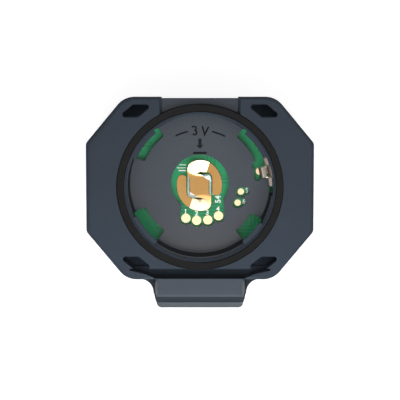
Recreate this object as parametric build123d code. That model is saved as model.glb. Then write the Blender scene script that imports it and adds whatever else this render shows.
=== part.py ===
from build123d import *

import math
import os

# Bike speed sensor with its battery door off.
# Millimetres. The front face lies on z = 0 and the battery side looks up, towards +Z.
# The axis of the coin cell is the Z axis, and the strap hook points towards -Y.

# Coin cell that the bay is made for
CELL_DIAMETER = 20.0
CELL_THICKNESS = 2.5
CELL_GAP = 0.35

# Layers on the cell's axis, from the front face to the battery side
FRONT_WALL = 1.2
COMPONENT_SPACE = 1.2
BOARD_THICKNESS = 0.8
FLOOR_THICKNESS = 0.8
DOOR_DEPTH = 1.5

# Plan of the housing where it is widest, just under the rear face
WIDTH = 33.24
TOP_EDGE = 13.22
BOTTOM_EDGE = 13.75
SIDE_TOP_Y = 6.4
SIDE_BOTTOM_Y = -6.65
CORNER_CUT_ANGLE = 50.5
SIDE_CORNER_RADIUS = 1.0
END_CORNER_RADIUS = 3.3
WALL_SLOPE = 15.0
REAR_EDGE_RADIUS = 0.7
FRONT_EDGE_RADIUS = 0.9
SHELL_WALL = 1.1
SPLIT_ABOVE_BOARD_BOTTOM = 0.6

# Circuit board in its seat
BOARD_GAP = 0.12
BOARD_LEDGE = 0.8
BOARD_CORNER_RADIUS = 0.8
PIN_RADIUS = 0.55
PIN_HOLE_GAP = 0.08
PIN_OFFSET_X = 10.75
PIN_OFFSET_Y = -3.0
PIN_HEAD_RADIUS = 0.9
PIN_HEAD_HEIGHT = 0.5

# Battery bay
MOUTH_RADIUS = 10.7
COLLAR_WALL = 0.35
COLLAR_BEVEL = 0.3
WELL_NARROWING = 0.1
LEDGE_WIDTH = 0.1
TUBE_WALL = 1.65
LUG_REACH = 0.55
LUG_THICKNESS = 0.6
LUG_BELOW_RIM = 0.25
LUG_ANGLES = ((129, 157), (25, 50), (205, 232), (308, 329))
SLOT_ANGLES = ((127, 158), (22, 52), (203.5, 233.5), (307, 330))
SLOT_INNER_RADIUS = 8.75
SLOT_END_RADIUS = 0.3

# Seal ring round the bay
SEAL_WIDTH = 1.15
SEAL_SEAT_DEPTH = 0.9
SEAL_PROUD = 0.08
SEAL_GAP = 0.03
SEAL_EDGE_RADIUS = 0.18

# Openings in the bay floor
CENTRE_HOLE_RADIUS = 4.26
PROGRAM_PADS = ((-2.07, -5.32), (-0.48, -5.65), (1.17, -5.57), (2.76, -4.96))
PROGRAM_PAD_RADIUS = 0.68
PROGRAM_PAD_RIM = 0.25
LOBE_BRIDGE_ANGLES = (230.0, 325.0)
TEST_PADS = ((6.05, -1.33), (5.57, -2.98))
TEST_PAD_RADIUS = 0.47
TEST_PAD_RIM = 0.3
TEST_MARK_OFFSET = (0.72, 0.18)
TEST_MARK_RADIUS = 0.55
PAD_THICKNESS = 0.05

# Signs sunk in the bay floor
SIGN_DEPTH = 0.2
ARROW_TIP_Y = 5.15
ARROW_LENGTH = 1.5
ARROW_HEAD_LENGTH = 0.56
ARROW_HEAD_WIDTH = 1.06
ARROW_SHAFT_WIDTH = 0.45
MINUS_Y = 4.53
MINUS_LENGTH = 2.0
MINUS_WIDTH = 0.33
VOLTAGE_RADIUS = 7.9
VOLTAGE_HEIGHT = 1.23
VOLTAGE_STROKE = 0.24
VOLTAGE_DIGIT_ANGLE = 96.0
VOLTAGE_LETTER_ANGLE = 84.5
VOLTAGE_LETTER_WIDTH = 0.95
VOLTAGE_ARC_ANGLES = ((62.0, 77.0), (103.0, 117.0))
BOW_SWEEP_ANGLE = 240.0
UPPER_BOW_START_ANGLE = -90.0
LOWER_BOW_START_ANGLE = -150.0

# Recess for the strap at the top edge
RECESS_WIDTH = 11.1
RECESS_DEPTH = 0.85
RECESS_SIDE_RUN = 0.35
RECESS_END_DEPTH = 0.19

# Strap eyes at the four corners
EYE_X = 9.33
EYE_Y = 11.2
EYE_FLAT = 3.05
EYE_LEAN = 2.35
EYE_HEIGHT = 1.92
EYE_CORNER_RADIUS = 0.42
EYE_DEPTH = 3.4
EYE_WINDOW_WIDTH = 2.0
EYE_WINDOW_HEIGHT = 1.5

# Valley between the plate and the strap hook
VALLEY_TOP_Y = -12.07
VALLEY_HOOK_Y = -13.7
VALLEY_HALF_WIDTH = 6.6
VALLEY_SHOULDER_X = 7.8
VALLEY_SHOULDER_Y = -13.05
VALLEY_END_X = 10.3
VALLEY_END_Y = -12.35
VALLEY_DEPTH = 3.0
HOOK_UNDERCUT = 0.5
HOOK_UNDERCUT_BELOW_TOP = 1.1

# Strap hook and the flange that carries it
HOOK_TOP_BELOW_REAR = 0.75
HOOK_CREST_Y = -15.4
HOOK_SHOULDER_Y = -16.5
HOOK_SHOULDER_DROP = 0.8
HOOK_FOOT_Y = -17.8
HOOK_CREST_RADIUS = 1.3
HOOK_SIDE_SLOPE = 30.0
HOOK_SIDE_HEIGHT = 1.3
LIP_TOP_BELOW_REAR = 3.7
LIP_EDGE_RADIUS = 0.35
TAB_NECK_HALF = 6.85
TAB_END_HALF = 6.3
TAB_END_Y = -18.64
TAB_NECK_Y = -15.6
TAB_CORNER_RADIUS = 0.75
NECK_RADIUS = 2.0
NECK_START_X = 9.0
FLANGE_OVERHANG = 0.2
CORNER_FALL_START_X = 10.8

# Cavities in the two wings beside the bay
WING_HALF_HEIGHT = 8.4
WING_ROOF = 1.6

# Negative contact: an oval leaf slit into an S
LEAF_CENTRE = (-0.08, -0.35)
LEAF_WIDTH = 6.65
LEAF_LENGTH = 7.5
LEAF_THICKNESS = 0.15
LEAF_STRIP_WIDTH = 3.48
LEAF_SLIT = 0.18
LEAF_SLIT_LEVEL = 1.6
LEAF_FOOT_END = 1.5
LEAF_FOLD_X = 1.35
LEAF_TURN_X = 0.0
LEAF_PROUD = 0.45
LAND_THICKNESS = 0.05
LAND_INSET = 0.1

# Positive contact: a side spring in a pocket of the bay wall
NOSE_ANGLE = 11.0
NOSE_REACH_LOW = 0.8
NOSE_REACH_HIGH = 0.1
NOSE_HALF_ANGLE = 4.6
NOSE_FOOT_HALF_ANGLE = 6.6
WING_HALF_ANGLE = 12.0
SPRING_THICKNESS = 0.15
SPRING_HEIGHT = 2.1
SPRING_ABOVE_BOARD = 0.55
SPRING_TRAVEL = 0.7
SPRING_CLEARANCE = 0.08
WING_BEHIND_BAY_WALL = 0.02
WING_LEAN = 0.33
WING_END_GAP_ANGLE = 1.0
POCKET_WALL_GAP = 0.06
POCKET_ANGLES = (-8.0, 24.5)
CONTACT_OPENING_X = 7.95
CONTACT_OPENING_LOW_Y = 0.8
CONTACT_OPENING_HIGH_Y = 3.2
CONTACT_OPENING_CORNER_RADIUS = 0.3
CONTACT_OPENING_LOBES = ((8.2, 2.66, 0.56), (8.5, 0.82, 0.5))
CONTACT_FOOT_LENGTH = 1.1
CONTACT_FOOT_WIDTH = 1.1
CONTACT_PAD_RADIUS = 0.55
CONTACT_PAD_FROM_AXIS = 8.98

# Light window over the status lamp
WINDOW_X = 0.0
WINDOW_Y = 8.2
WINDOW_RADIUS = 0.8
WINDOW_FLANGE = 0.35
WINDOW_FLANGE_THICKNESS = 0.5
WINDOW_GAP = 0.02
LAMP_SIZE = (1.6, 0.8, 0.55)
LAMP_BASE_HEIGHT = 0.28
LAMP_LENS_LENGTH = 1.05

# Parts soldered on the front side of the board: centre x, centre y, size x, size y, height
SOLDER_GAP = 0.03
RADIO_CHIP = (-5.0, 1.0, 5.0, 5.0, 0.85)
MAIN_CRYSTAL = (-5.0, -4.0, 3.2, 2.5, 0.7)
MOTION_SENSOR = (3.0, -2.0, 3.0, 3.0, 0.95)
INDUCTOR = (-5.2, 5.6, 2.0, 1.6, 1.0)
CERAMIC_CAPACITORS = (
    (-1.4, 2.8), (-1.4, 1.2), (-1.4, -0.4), (-2.2, -3.4), (-2.2, -5.0), (0.2, 4.6),
    (5.8, -0.4), (5.8, -3.6), (3.0, 1.0), (-8.6, 2.6), (-8.6, 4.0), (-7.6, -5.6),
)
RESISTORS = (
    (2.0, 6.6), (3.6, 6.6), (5.2, 6.6), (0.2, -7.6), (1.8, -7.6), (3.4, -7.6), (7.4, 3.2), (7.4, 4.8),
)
CHIP_ANTENNA = (-8.4, 7.0, 3.2, 1.6, 0.9)
WATCH_CRYSTAL = (-8.6, -1.5, 1.5, 3.2, 0.75)
RESERVOIR_CAPACITOR = (8.3, -6.6, 3.5, 2.8, 1.1)
SMALL_PART_LENGTH = 1.0
SMALL_PART_WIDTH = 0.5
CAPACITOR_HEIGHT = 0.5
RESISTOR_HEIGHT = 0.35
DIMPLE_RADIUS = 0.3
DIMPLE_DEPTH = 0.08
DIMPLE_FROM_EDGE = 0.7
CRYSTAL_BASE_HEIGHT = 0.45
LID_INSET = 0.18
LID_CORNER_RADIUS = 0.2

# Heights that follow from the layers
BOARD_BOTTOM = FRONT_WALL + COMPONENT_SPACE
BOARD_TOP = BOARD_BOTTOM + BOARD_THICKNESS
FLOOR_TOP = BOARD_TOP + FLOOR_THICKNESS
LEDGE_TOP = FLOOR_TOP + CELL_THICKNESS
REAR_FACE = LEDGE_TOP + DOOR_DEPTH
SPLIT = BOARD_BOTTOM + SPLIT_ABOVE_BOARD_BOTTOM

# Radii that follow from the cell and the mouth
CELL_WELL_RADIUS = CELL_DIAMETER / 2 + CELL_GAP
COLLAR_RADIUS = MOUTH_RADIUS + COLLAR_WALL
SEAL_OUTER_RADIUS = COLLAR_RADIUS + SEAL_WIDTH
TUBE_RADIUS = CELL_WELL_RADIUS + TUBE_WALL
LUG_TOP = REAR_FACE - LUG_BELOW_RIM
LUG_BOTTOM = LUG_TOP - LUG_THICKNESS

# Room that a cutting tool takes past the faces that it cuts
OVER = 1.0


def prism(plan, bottom, top):
    """Straight prism on a plan, between two heights."""
    return Pos(0, 0, bottom) * extrude(plan, amount=top - bottom)


def disc(radius, bottom, top, x=0.0, y=0.0):
    """Upright cylinder between two heights."""
    return prism(Pos(x, y) * Circle(radius), bottom, top)


def sector_plan(inner, outer, start, end):
    """Plan of a ring between two angles, in degrees from +X."""
    outside = CenterArc((0, 0), outer, start, end - start)
    inside = CenterArc((0, 0), inner, start, end - start)
    return make_face([outside, inside, Line(inside @ 0, outside @ 0), Line(inside @ 1, outside @ 1)])


def sector(inner, outer, start, end, bottom, top):
    """Piece of a ring between two angles and two heights."""
    return prism(sector_plan(inner, outer, start, end), bottom, top)


def polar(radius, angle):
    """Point at a radius and an angle in degrees."""
    return (radius * math.cos(math.radians(angle)), radius * math.sin(math.radians(angle)))


def wall_inset(height):
    """How far the sloping outer wall stands in from the rear face's outline at a height."""
    return (REAR_FACE - height) * math.tan(math.radians(WALL_SLOPE))


def outline():
    """Plan of the rear face with sharp corners and edges, without the hook."""
    side = WIDTH / 2
    cut = math.tan(math.radians(CORNER_CUT_ANGLE))
    top = side - (TOP_EDGE - SIDE_TOP_Y) / cut
    bottom = side - (BOTTOM_EDGE + SIDE_BOTTOM_Y) / cut
    half = [(bottom, -BOTTOM_EDGE), (side, SIDE_BOTTOM_Y), (side, SIDE_TOP_Y), (top, TOP_EDGE)]
    corners = half + [(-x, y) for x, y in reversed(half)]
    return offset(make_face(Polyline(*corners, close=True)), lost_to_rounding(), kind=Kind.INTERSECTION)


def lost_to_rounding():
    """How far the rounding of the rear face's edge takes the widest outline in from the sharp one."""
    return REAR_EDGE_RADIUS * (1 / math.tan(math.radians((90 - WALL_SLOPE) / 2)) - 1)


def drawn_in(inset, radius):
    """Outline drawn in evenly, with its corners rounded."""
    plan = offset(outline(), -inset, kind=Kind.INTERSECTION)
    return fillet(plan.vertices(), radius)


def outer_body():
    """Outer form of both halves: an eight-sided block whose walls lean in towards the front."""
    body = extrude(Pos(0, 0, REAR_FACE) * outline(), amount=-REAR_FACE, taper=WALL_SLOPE)
    walls = [edge for edge in body.edges() if edge.bounding_box().size.Z > REAR_FACE / 2]
    at_ends = [edge for edge in walls if abs(edge.center().Y) > (TOP_EDGE + SIDE_TOP_Y) / 2]
    body = fillet(at_ends, END_CORNER_RADIUS)
    walls = [edge for edge in body.edges() if edge.bounding_box().size.Z > REAR_FACE / 2]
    at_sides = [edge for edge in walls if abs(edge.center().Y) < SIDE_TOP_Y + OVER]
    body = fillet(at_sides, SIDE_CORNER_RADIUS)
    body = fillet(body.faces().sort_by(Axis.Z)[-1].edges(), REAR_EDGE_RADIUS)
    return fillet(body.faces().sort_by(Axis.Z)[0].edges(), FRONT_EDGE_RADIUS)


def half_space(bottom, top):
    """Box that holds the whole plan between two heights."""
    reach = 2 * WIDTH
    return prism(Rectangle(reach, reach), bottom, top)


def tab_plan():
    """Plan of the strap hook's tab, a little narrower at its end."""
    top_y = VALLEY_TOP_Y + OVER
    corners = [(-TAB_NECK_HALF, top_y), (-TAB_NECK_HALF, TAB_NECK_Y), (-TAB_END_HALF, TAB_END_Y)]
    corners += [(TAB_END_HALF, TAB_END_Y), (TAB_NECK_HALF, TAB_NECK_Y), (TAB_NECK_HALF, top_y)]
    plan = make_face(Polyline(*corners, close=True))
    ends = [corner for corner in plan.vertices() if corner.Y < TAB_NECK_Y - OVER]
    return fillet(ends, TAB_CORNER_RADIUS)


def flange_plan():
    """Plan of the flange, from the plate's corners through hollow curves into the tab."""
    top_y, edge_y = VALLEY_TOP_Y + OVER, -BOTTOM_EDGE - FLANGE_OVERHANG
    half = [(NECK_START_X, top_y), (NECK_START_X, edge_y), (TAB_NECK_HALF, edge_y)]
    half += [(TAB_NECK_HALF, TAB_NECK_Y - OVER / 2)]
    corners = half + [(-x, y) for x, y in reversed(half)]
    plan = make_face(Polyline(*corners, close=True))
    hollows = [
        corner for corner in plan.vertices()
        if abs(corner.X) < (NECK_START_X + TAB_NECK_HALF) / 2 and corner.Y > TAB_NECK_Y
    ]
    return fillet(hollows, NECK_RADIUS)


def hook():
    """Strap hook: a shelf that rolls over its crest into a steep outer face above a thin lip."""
    top, lip = REAR_FACE - HOOK_TOP_BELOW_REAR, REAR_FACE - LIP_TOP_BELOW_REAR
    points = [
        (VALLEY_TOP_Y + OVER, SPLIT), (VALLEY_TOP_Y + OVER, top), (HOOK_CREST_Y, top),
        (HOOK_SHOULDER_Y, top - HOOK_SHOULDER_DROP), (HOOK_FOOT_Y, lip), (HOOK_FOOT_Y, SPLIT),
    ]
    profile = make_face(Polyline(*points, close=True))
    crest = [
        corner for corner in profile.vertices()
        if HOOK_FOOT_Y < corner.X < VALLEY_HOOK_Y and corner.Y > lip
    ]
    profile = fillet(crest, HOOK_CREST_RADIUS)
    bar = extrude(Plane.YZ * profile, amount=WIDTH / 2, both=True)
    lip_plate = prism(tab_plan(), SPLIT, lip)
    lip_plate = fillet(lip_plate.faces().sort_by(Axis.Z)[-1].edges(), LIP_EDGE_RADIUS)
    upright = prism(tab_plan(), SPLIT, top - HOOK_SIDE_HEIGHT)
    return (bar & (upright + leaning_top(tab_plan()) + flange())) + lip_plate


def leaning_top(plan):
    """Upper part of the tab or its flange, whose sides lean in above the given plan."""
    middle = REAR_FACE - HOOK_TOP_BELOW_REAR - HOOK_SIDE_HEIGHT
    return extrude(Pos(0, 0, middle) * plan, amount=HOOK_SIDE_HEIGHT, taper=HOOK_SIDE_SLOPE)


def flange():
    """Flange that joins the hook's tab to the plate, with walls that lean as the housing's do."""
    middle = REAR_FACE - HOOK_TOP_BELOW_REAR - HOOK_SIDE_HEIGHT
    below = extrude(Pos(0, 0, middle) * flange_plan(), amount=SPLIT - middle, taper=WALL_SLOPE)
    return below + leaning_top(flange_plan())


def corner_falls():
    """Wedges that cut the plate's lower corners down to the height of the flange."""
    run = CORNER_FALL_START_X - TAB_NECK_HALF
    drop = HOOK_TOP_BELOW_REAR
    rise = run + OVER
    points = [
        (CORNER_FALL_START_X, REAR_FACE), (TAB_NECK_HALF, REAR_FACE - drop), (0, REAR_FACE - drop),
        (0, REAR_FACE + rise), (CORNER_FALL_START_X, REAR_FACE + rise),
    ]
    profile = make_face(Polyline(*points, close=True))
    bottom = Plane(origin=(0, VALLEY_TOP_Y, 0), x_dir=(1, 0, 0), z_dir=(0, -1, 0))
    right = extrude(bottom * profile, amount=-(TAB_END_Y - VALLEY_TOP_Y) + OVER)
    return right + mirror(right, about=Plane.YZ)


def valley():
    """Dark valley between the plate and the hook, with an undercut behind the hook's shelf."""
    half = [
        (VALLEY_END_X, VALLEY_TOP_Y), (VALLEY_END_X, VALLEY_END_Y),
        (VALLEY_SHOULDER_X, VALLEY_SHOULDER_Y), (VALLEY_HALF_WIDTH, VALLEY_HOOK_Y),
    ]
    corners = half + [(-x, y) for x, y in reversed(half)]
    bottom = REAR_FACE - VALLEY_DEPTH
    cut = prism(make_face(Polyline(*corners, close=True)), bottom, REAR_FACE + OVER)
    shelf_under = REAR_FACE - HOOK_TOP_BELOW_REAR - HOOK_UNDERCUT_BELOW_TOP
    size = (2 * VALLEY_HALF_WIDTH, HOOK_UNDERCUT, shelf_under - bottom)
    undercut = Box(*size, align=(Align.CENTER, Align.MAX, Align.MIN))
    return cut + Pos(0, VALLEY_HOOK_Y, bottom) * undercut


def eye_plan(side, end):
    """Mouth of a strap eye: a leaning slot, mirrored to the side and end given as 1 or -1."""
    low, high = EYE_Y - EYE_HEIGHT / 2, EYE_Y + EYE_HEIGHT / 2
    near_low, far_low = EYE_X + (EYE_LEAN - EYE_FLAT) / 2, EYE_X + (EYE_LEAN + EYE_FLAT) / 2
    near_high, far_high = EYE_X - (EYE_LEAN + EYE_FLAT) / 2, EYE_X - (EYE_LEAN - EYE_FLAT) / 2
    corners = [(near_low, low), (far_low, low), (far_high, high), (near_high, high)]
    plan = make_face(Polyline(*[(side * x, end * y) for x, y in corners], close=True))
    return fillet(plan.vertices(), EYE_CORNER_RADIUS)


def strap_eye(side, end):
    """Strap eye: a well in the rear face that opens through the end wall, or into the valley."""
    bottom = REAR_FACE - EYE_DEPTH
    well = prism(eye_plan(side, end), bottom, REAR_FACE + OVER)
    if end < 0:
        return well
    out = TOP_EDGE - EYE_Y + OVER
    window = Box(EYE_WINDOW_WIDTH, out, EYE_WINDOW_HEIGHT, align=(Align.CENTER, Align.MIN, Align.MIN))
    return well + Pos(side * (EYE_X - EYE_LEAN / 2), EYE_Y, bottom) * window


def end_groove():
    """Shallow groove down the leaning end wall, where the strap goes on from its recess."""
    sharp_y = TOP_EDGE + lost_to_rounding() - RECESS_END_DEPTH
    points = [
        (sharp_y - wall_inset(-OVER), -OVER), (sharp_y - wall_inset(REAR_FACE + OVER), REAR_FACE + OVER),
        (sharp_y + 2 * OVER, REAR_FACE + OVER), (sharp_y + 2 * OVER, -OVER),
    ]
    profile = make_face(Polyline(*points, close=True))
    return extrude(Plane.YZ * profile, amount=RECESS_WIDTH / 2, both=True)


def strap_recess():
    """Shallow recess for the strap between the top edge and the seal ring."""
    top_half = RECESS_WIDTH / 2 + RECESS_SIDE_RUN
    points = [
        (-RECESS_WIDTH / 2, REAR_FACE - RECESS_DEPTH), (RECESS_WIDTH / 2, REAR_FACE - RECESS_DEPTH),
        (top_half, REAR_FACE), (top_half, REAR_FACE + OVER), (-top_half, REAR_FACE + OVER),
        (-top_half, REAR_FACE),
    ]
    front = Plane(origin=(0, TOP_EDGE + OVER, 0), x_dir=(1, 0, 0), z_dir=(0, -1, 0))
    trough = extrude(front * make_face(Polyline(*points, close=True)), amount=TOP_EDGE + OVER)
    return trough - disc(SEAL_OUTER_RADIUS, 0, REAR_FACE + 2 * OVER)


def bay_space():
    """Everything that is hollow in the battery bay above its floor."""
    upright = (Align.CENTER, Align.CENTER, Align.MIN)
    floor_radius, top_radius = CELL_WELL_RADIUS - WELL_NARROWING, MOUTH_RADIUS - LEDGE_WIDTH
    well = Pos(0, 0, FLOOR_TOP) * Cone(floor_radius, top_radius, LEDGE_TOP - FLOOR_TOP, align=upright)
    mouth = disc(MOUTH_RADIUS, LEDGE_TOP, REAR_FACE)
    bevel = Cone(MOUTH_RADIUS, MOUTH_RADIUS + COLLAR_BEVEL, COLLAR_BEVEL, align=upright)
    mouth += Pos(0, 0, REAR_FACE - COLLAR_BEVEL) * bevel
    pocket = sector(CELL_WELL_RADIUS - OVER, pocket_radius(), *POCKET_ANGLES, FLOOR_TOP, LEDGE_TOP)
    return well + mouth + pocket


def pocket_radius():
    """Radius of the pocket's back wall, behind the positive contact at its full travel."""
    wing_outside = CELL_WELL_RADIUS + WING_BEHIND_BAY_WALL + SPRING_THICKNESS
    return wing_outside + SPRING_TRAVEL + SPRING_CLEARANCE + SPRING_THICKNESS + POCKET_WALL_GAP


def lugs():
    """Four bayonet lugs that hold the door's tabs."""
    inner = MOUTH_RADIUS - LUG_REACH
    outer = MOUTH_RADIUS + COLLAR_WALL / 2
    pieces = [sector(inner, outer, *angles, LUG_BOTTOM, LUG_TOP) for angles in LUG_ANGLES]
    return pieces[0] + pieces[1:]


def floor_slots():
    """Arc slots in the floor below the lugs, which the mould's cores come through."""
    slots = [
        sector(SLOT_INNER_RADIUS, MOUTH_RADIUS, *angles, SPLIT, LUG_BOTTOM) for angles in SLOT_ANGLES
    ]
    slots = [fillet(slot.edges().filter_by(Axis.Z), SLOT_END_RADIUS) for slot in slots]
    return slots[0] + slots[1:]


def centre_opening():
    """Round hole over the negative contact, with lobes over the four programming pads."""
    lobe = PROGRAM_PAD_RADIUS + PROGRAM_PAD_RIM
    first, last = PROGRAM_PADS[0], PROGRAM_PADS[-1]
    left, right = [polar(CENTRE_HOLE_RADIUS, angle) for angle in LOBE_BRIDGE_ANGLES]
    bridge = [
        left, (first[0] - lobe, first[1]), (first[0], first[1] - lobe / 2),
        (last[0], last[1] - lobe / 2), (last[0] + lobe, last[1]), right,
    ]
    plan = Circle(CENTRE_HOLE_RADIUS) + make_face(Polyline(*bridge, close=True))
    for x, y in PROGRAM_PADS:
        plan += Pos(x, y) * Circle(lobe)
    return prism(plan, SPLIT, FLOOR_TOP + SIGN_DEPTH)


def test_opening():
    """Two joined lobes over the test pads, each with a small window beside it."""
    lobe = TEST_PAD_RADIUS + TEST_PAD_RIM
    plan = Sketch()
    for x, y in TEST_PADS:
        plan += Pos(x, y) * Circle(lobe)
        plan += Pos(x + TEST_MARK_OFFSET[0], y + TEST_MARK_OFFSET[1]) * Circle(TEST_MARK_RADIUS)
    return prism(plan, SPLIT, FLOOR_TOP + SIGN_DEPTH)


def contact_opening():
    """Opening in the floor that the positive contact stands in."""
    size_x = CELL_WELL_RADIUS - CONTACT_OPENING_X
    size_y = CONTACT_OPENING_HIGH_Y - CONTACT_OPENING_LOW_Y
    plan = Pos(CONTACT_OPENING_X + size_x / 2, CONTACT_OPENING_LOW_Y + size_y / 2) * RectangleRounded(
        size_x, size_y, CONTACT_OPENING_CORNER_RADIUS
    )
    for x, y, radius in CONTACT_OPENING_LOBES:
        plan += Pos(x, y) * Circle(radius)
    link_end = (SLOT_ANGLES[1][0] + SLOT_ANGLES[1][1]) / 2
    plan += sector_plan(SLOT_INNER_RADIUS, CELL_WELL_RADIUS, NOSE_ANGLE, link_end)
    plan += sector_plan(CELL_WELL_RADIUS - POCKET_WALL_GAP, pocket_radius(), *POCKET_ANGLES)
    wing_inner = CELL_WELL_RADIUS - WING_LEAN - POCKET_WALL_GAP
    half_angle = WING_HALF_ANGLE + WING_END_GAP_ANGLE
    plan += sector_plan(wing_inner, CELL_WELL_RADIUS, NOSE_ANGLE - half_angle, NOSE_ANGLE + half_angle)
    return prism(plan, SPLIT, FLOOR_TOP)


def voltage_sign():
    """The cell's voltage on an arc, a 3 and a V drawn as strokes between two arc lines."""
    loop = VOLTAGE_HEIGHT / 4
    bows = trace(CenterArc((0, loop), loop, UPPER_BOW_START_ANGLE, BOW_SWEEP_ANGLE), VOLTAGE_STROKE)
    bows += trace(CenterArc((0, -loop), loop, LOWER_BOW_START_ANGLE, BOW_SWEEP_ANGLE), VOLTAGE_STROKE)
    half = VOLTAGE_LETTER_WIDTH / 2
    letter = [(-half, 2 * loop), (0, -2 * loop), (half, 2 * loop)]
    vee = trace(Polyline(*letter), VOLTAGE_STROKE)
    plan = Rot(0, 0, VOLTAGE_DIGIT_ANGLE - 90) * (Pos(0, VOLTAGE_RADIUS) * bows)
    plan += Rot(0, 0, VOLTAGE_LETTER_ANGLE - 90) * (Pos(0, VOLTAGE_RADIUS) * vee)
    inner, outer = VOLTAGE_RADIUS - VOLTAGE_STROKE / 2, VOLTAGE_RADIUS + VOLTAGE_STROKE / 2
    for angles in VOLTAGE_ARC_ANGLES:
        plan += sector_plan(inner, outer, *angles)
    return plan


def signs():
    """Voltage, arrow and minus sign sunk in the floor, which tell how the cell goes in."""
    head_y = ARROW_TIP_Y + ARROW_HEAD_LENGTH
    tail_y = ARROW_TIP_Y + ARROW_LENGTH
    arrow = [(0, ARROW_TIP_Y), (ARROW_HEAD_WIDTH / 2, head_y), (ARROW_SHAFT_WIDTH / 2, head_y)]
    arrow += [(ARROW_SHAFT_WIDTH / 2, tail_y), (-ARROW_SHAFT_WIDTH / 2, tail_y)]
    arrow += [(-ARROW_SHAFT_WIDTH / 2, head_y), (-ARROW_HEAD_WIDTH / 2, head_y)]
    plan = make_face(Polyline(*arrow, close=True)) + voltage_sign()
    plan += Pos(0, MINUS_Y) * Rectangle(MINUS_LENGTH, MINUS_WIDTH)
    return prism(plan, FLOOR_TOP - SIGN_DEPTH, FLOOR_TOP + SIGN_DEPTH)


def seal_seat():
    """Seat of the seal ring, a step round the bay's collar."""
    seat = disc(SEAL_OUTER_RADIUS, REAR_FACE - SEAL_SEAT_DEPTH, REAR_FACE + OVER)
    return seat - disc(COLLAR_RADIUS, 0, REAR_FACE + 2 * OVER)


def wing_cavities():
    """Hollows in the left and right wings, open towards the circuit board."""
    top = REAR_FACE - WING_ROOF
    plan = drawn_in(wing_inset_at_roof(), SIDE_CORNER_RADIUS)
    hollow = extrude(Pos(0, 0, top) * plan, amount=-(top - SPLIT), taper=WALL_SLOPE)
    hollow &= prism(Rectangle(2 * WIDTH, 2 * WING_HALF_HEIGHT), SPLIT, REAR_FACE)
    return hollow - disc(TUBE_RADIUS, 0, REAR_FACE)


def wing_inset_at_roof():
    """Inset of the wing cavities' outline at their roof."""
    return wall_inset(REAR_FACE - WING_ROOF) + SHELL_WALL


def board_plan(gap=0.0):
    """Plan of the circuit board, or of its seat when a gap is given."""
    return drawn_in(wall_inset(BOARD_BOTTOM) + SHELL_WALL + BOARD_GAP - gap, BOARD_CORNER_RADIUS)


def pin_places():
    """The two places where the rear housing's pins locate the board."""
    return [(side * PIN_OFFSET_X, PIN_OFFSET_Y) for side in (-1, 1)]


def rear_housing():
    """Half of the housing with the battery bay, the strap eyes and the strap hook."""
    body = (outer_body() & half_space(SPLIT, REAR_FACE + OVER)) + hook()
    collar = disc(COLLAR_RADIUS, SPLIT, REAR_FACE)
    body = body + collar
    outer_cuts = (corner_falls(), valley(), strap_recess(), end_groove())
    for cut in (*outer_cuts, seal_seat(), bay_space(), wing_cavities()):
        body -= cut
    for side in (-1, 1):
        for end in (-1, 1):
            body -= strap_eye(side, end)
    for cut in (floor_slots(), centre_opening(), test_opening(), contact_opening(), signs()):
        body -= cut
    body -= prism(board_plan(BOARD_GAP), SPLIT - OVER, BOARD_TOP)
    for x, y in pin_places():
        body += disc(PIN_RADIUS, BOARD_BOTTOM, BOARD_TOP + SIGN_DEPTH, x, y)
        body += disc(PIN_HEAD_RADIUS, BOARD_BOTTOM - PIN_HEAD_HEIGHT, BOARD_BOTTOM, x, y)
    return body + lugs()


def front_housing():
    """Front half of the housing: a shallow tray that the board lies in."""
    body = (outer_body() & half_space(-OVER, SPLIT)) - end_groove()
    body -= prism(board_plan(BOARD_GAP), BOARD_BOTTOM, SPLIT + OVER)
    body -= prism(drawn_in(component_inset(), BOARD_CORNER_RADIUS), FRONT_WALL, BOARD_BOTTOM)
    return body - light_window(WINDOW_GAP)


def component_inset():
    """Inset of the front housing's inner pocket, inside the ledge that the board lies on."""
    return wall_inset(BOARD_BOTTOM) + SHELL_WALL + BOARD_LEDGE


def light_window(gap=0.0):
    """Clear plug with a flange on its inner side, or the hole for it when a gap is given."""
    step = FRONT_WALL - WINDOW_FLANGE_THICKNESS
    plug = disc(WINDOW_RADIUS + gap, 0, FRONT_WALL, WINDOW_X, WINDOW_Y)
    flange_disc = disc(WINDOW_RADIUS + WINDOW_FLANGE + gap, step, FRONT_WALL, WINDOW_X, WINDOW_Y)
    return plug + flange_disc


def bay_seal_ring():
    """Flat gasket round the collar, a little proud of the rear face."""
    bottom, top = REAR_FACE - SEAL_SEAT_DEPTH, REAR_FACE + SEAL_PROUD
    ring = disc(SEAL_OUTER_RADIUS - SEAL_GAP, bottom, top) - disc(COLLAR_RADIUS + SEAL_GAP, 0, top + OVER)
    return fillet(ring.faces().sort_by(Axis.Z)[-1].edges(), SEAL_EDGE_RADIUS)


def circuit_board():
    """Board under the bay floor, with the two holes that the housing's pins pass through."""
    board = prism(board_plan(), BOARD_BOTTOM, BOARD_TOP)
    for x, y in pin_places():
        board -= disc(PIN_RADIUS + PIN_HOLE_GAP, BOARD_BOTTOM - OVER, BOARD_TOP + OVER, x, y)
    return board


def round_pads(places, radius):
    """Round gold pads on the board's rear side."""
    return [disc(radius, BOARD_TOP, BOARD_TOP + PAD_THICKNESS, x, y) for x, y in places]


def leaf_oval(shrink=0.0):
    """Oval that the negative contact is slit from, centred on the contact."""
    return Ellipse(LEAF_WIDTH / 2 - shrink, LEAF_LENGTH / 2 - shrink)


def leaf_window(low_x, high_x, low_y, high_y):
    """Rectangle between four lines, in the contact's own plan."""
    centre = Pos((low_x + high_x) / 2, (low_y + high_y) / 2)
    return centre * Rectangle(high_x - low_x, high_y - low_y)


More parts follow.
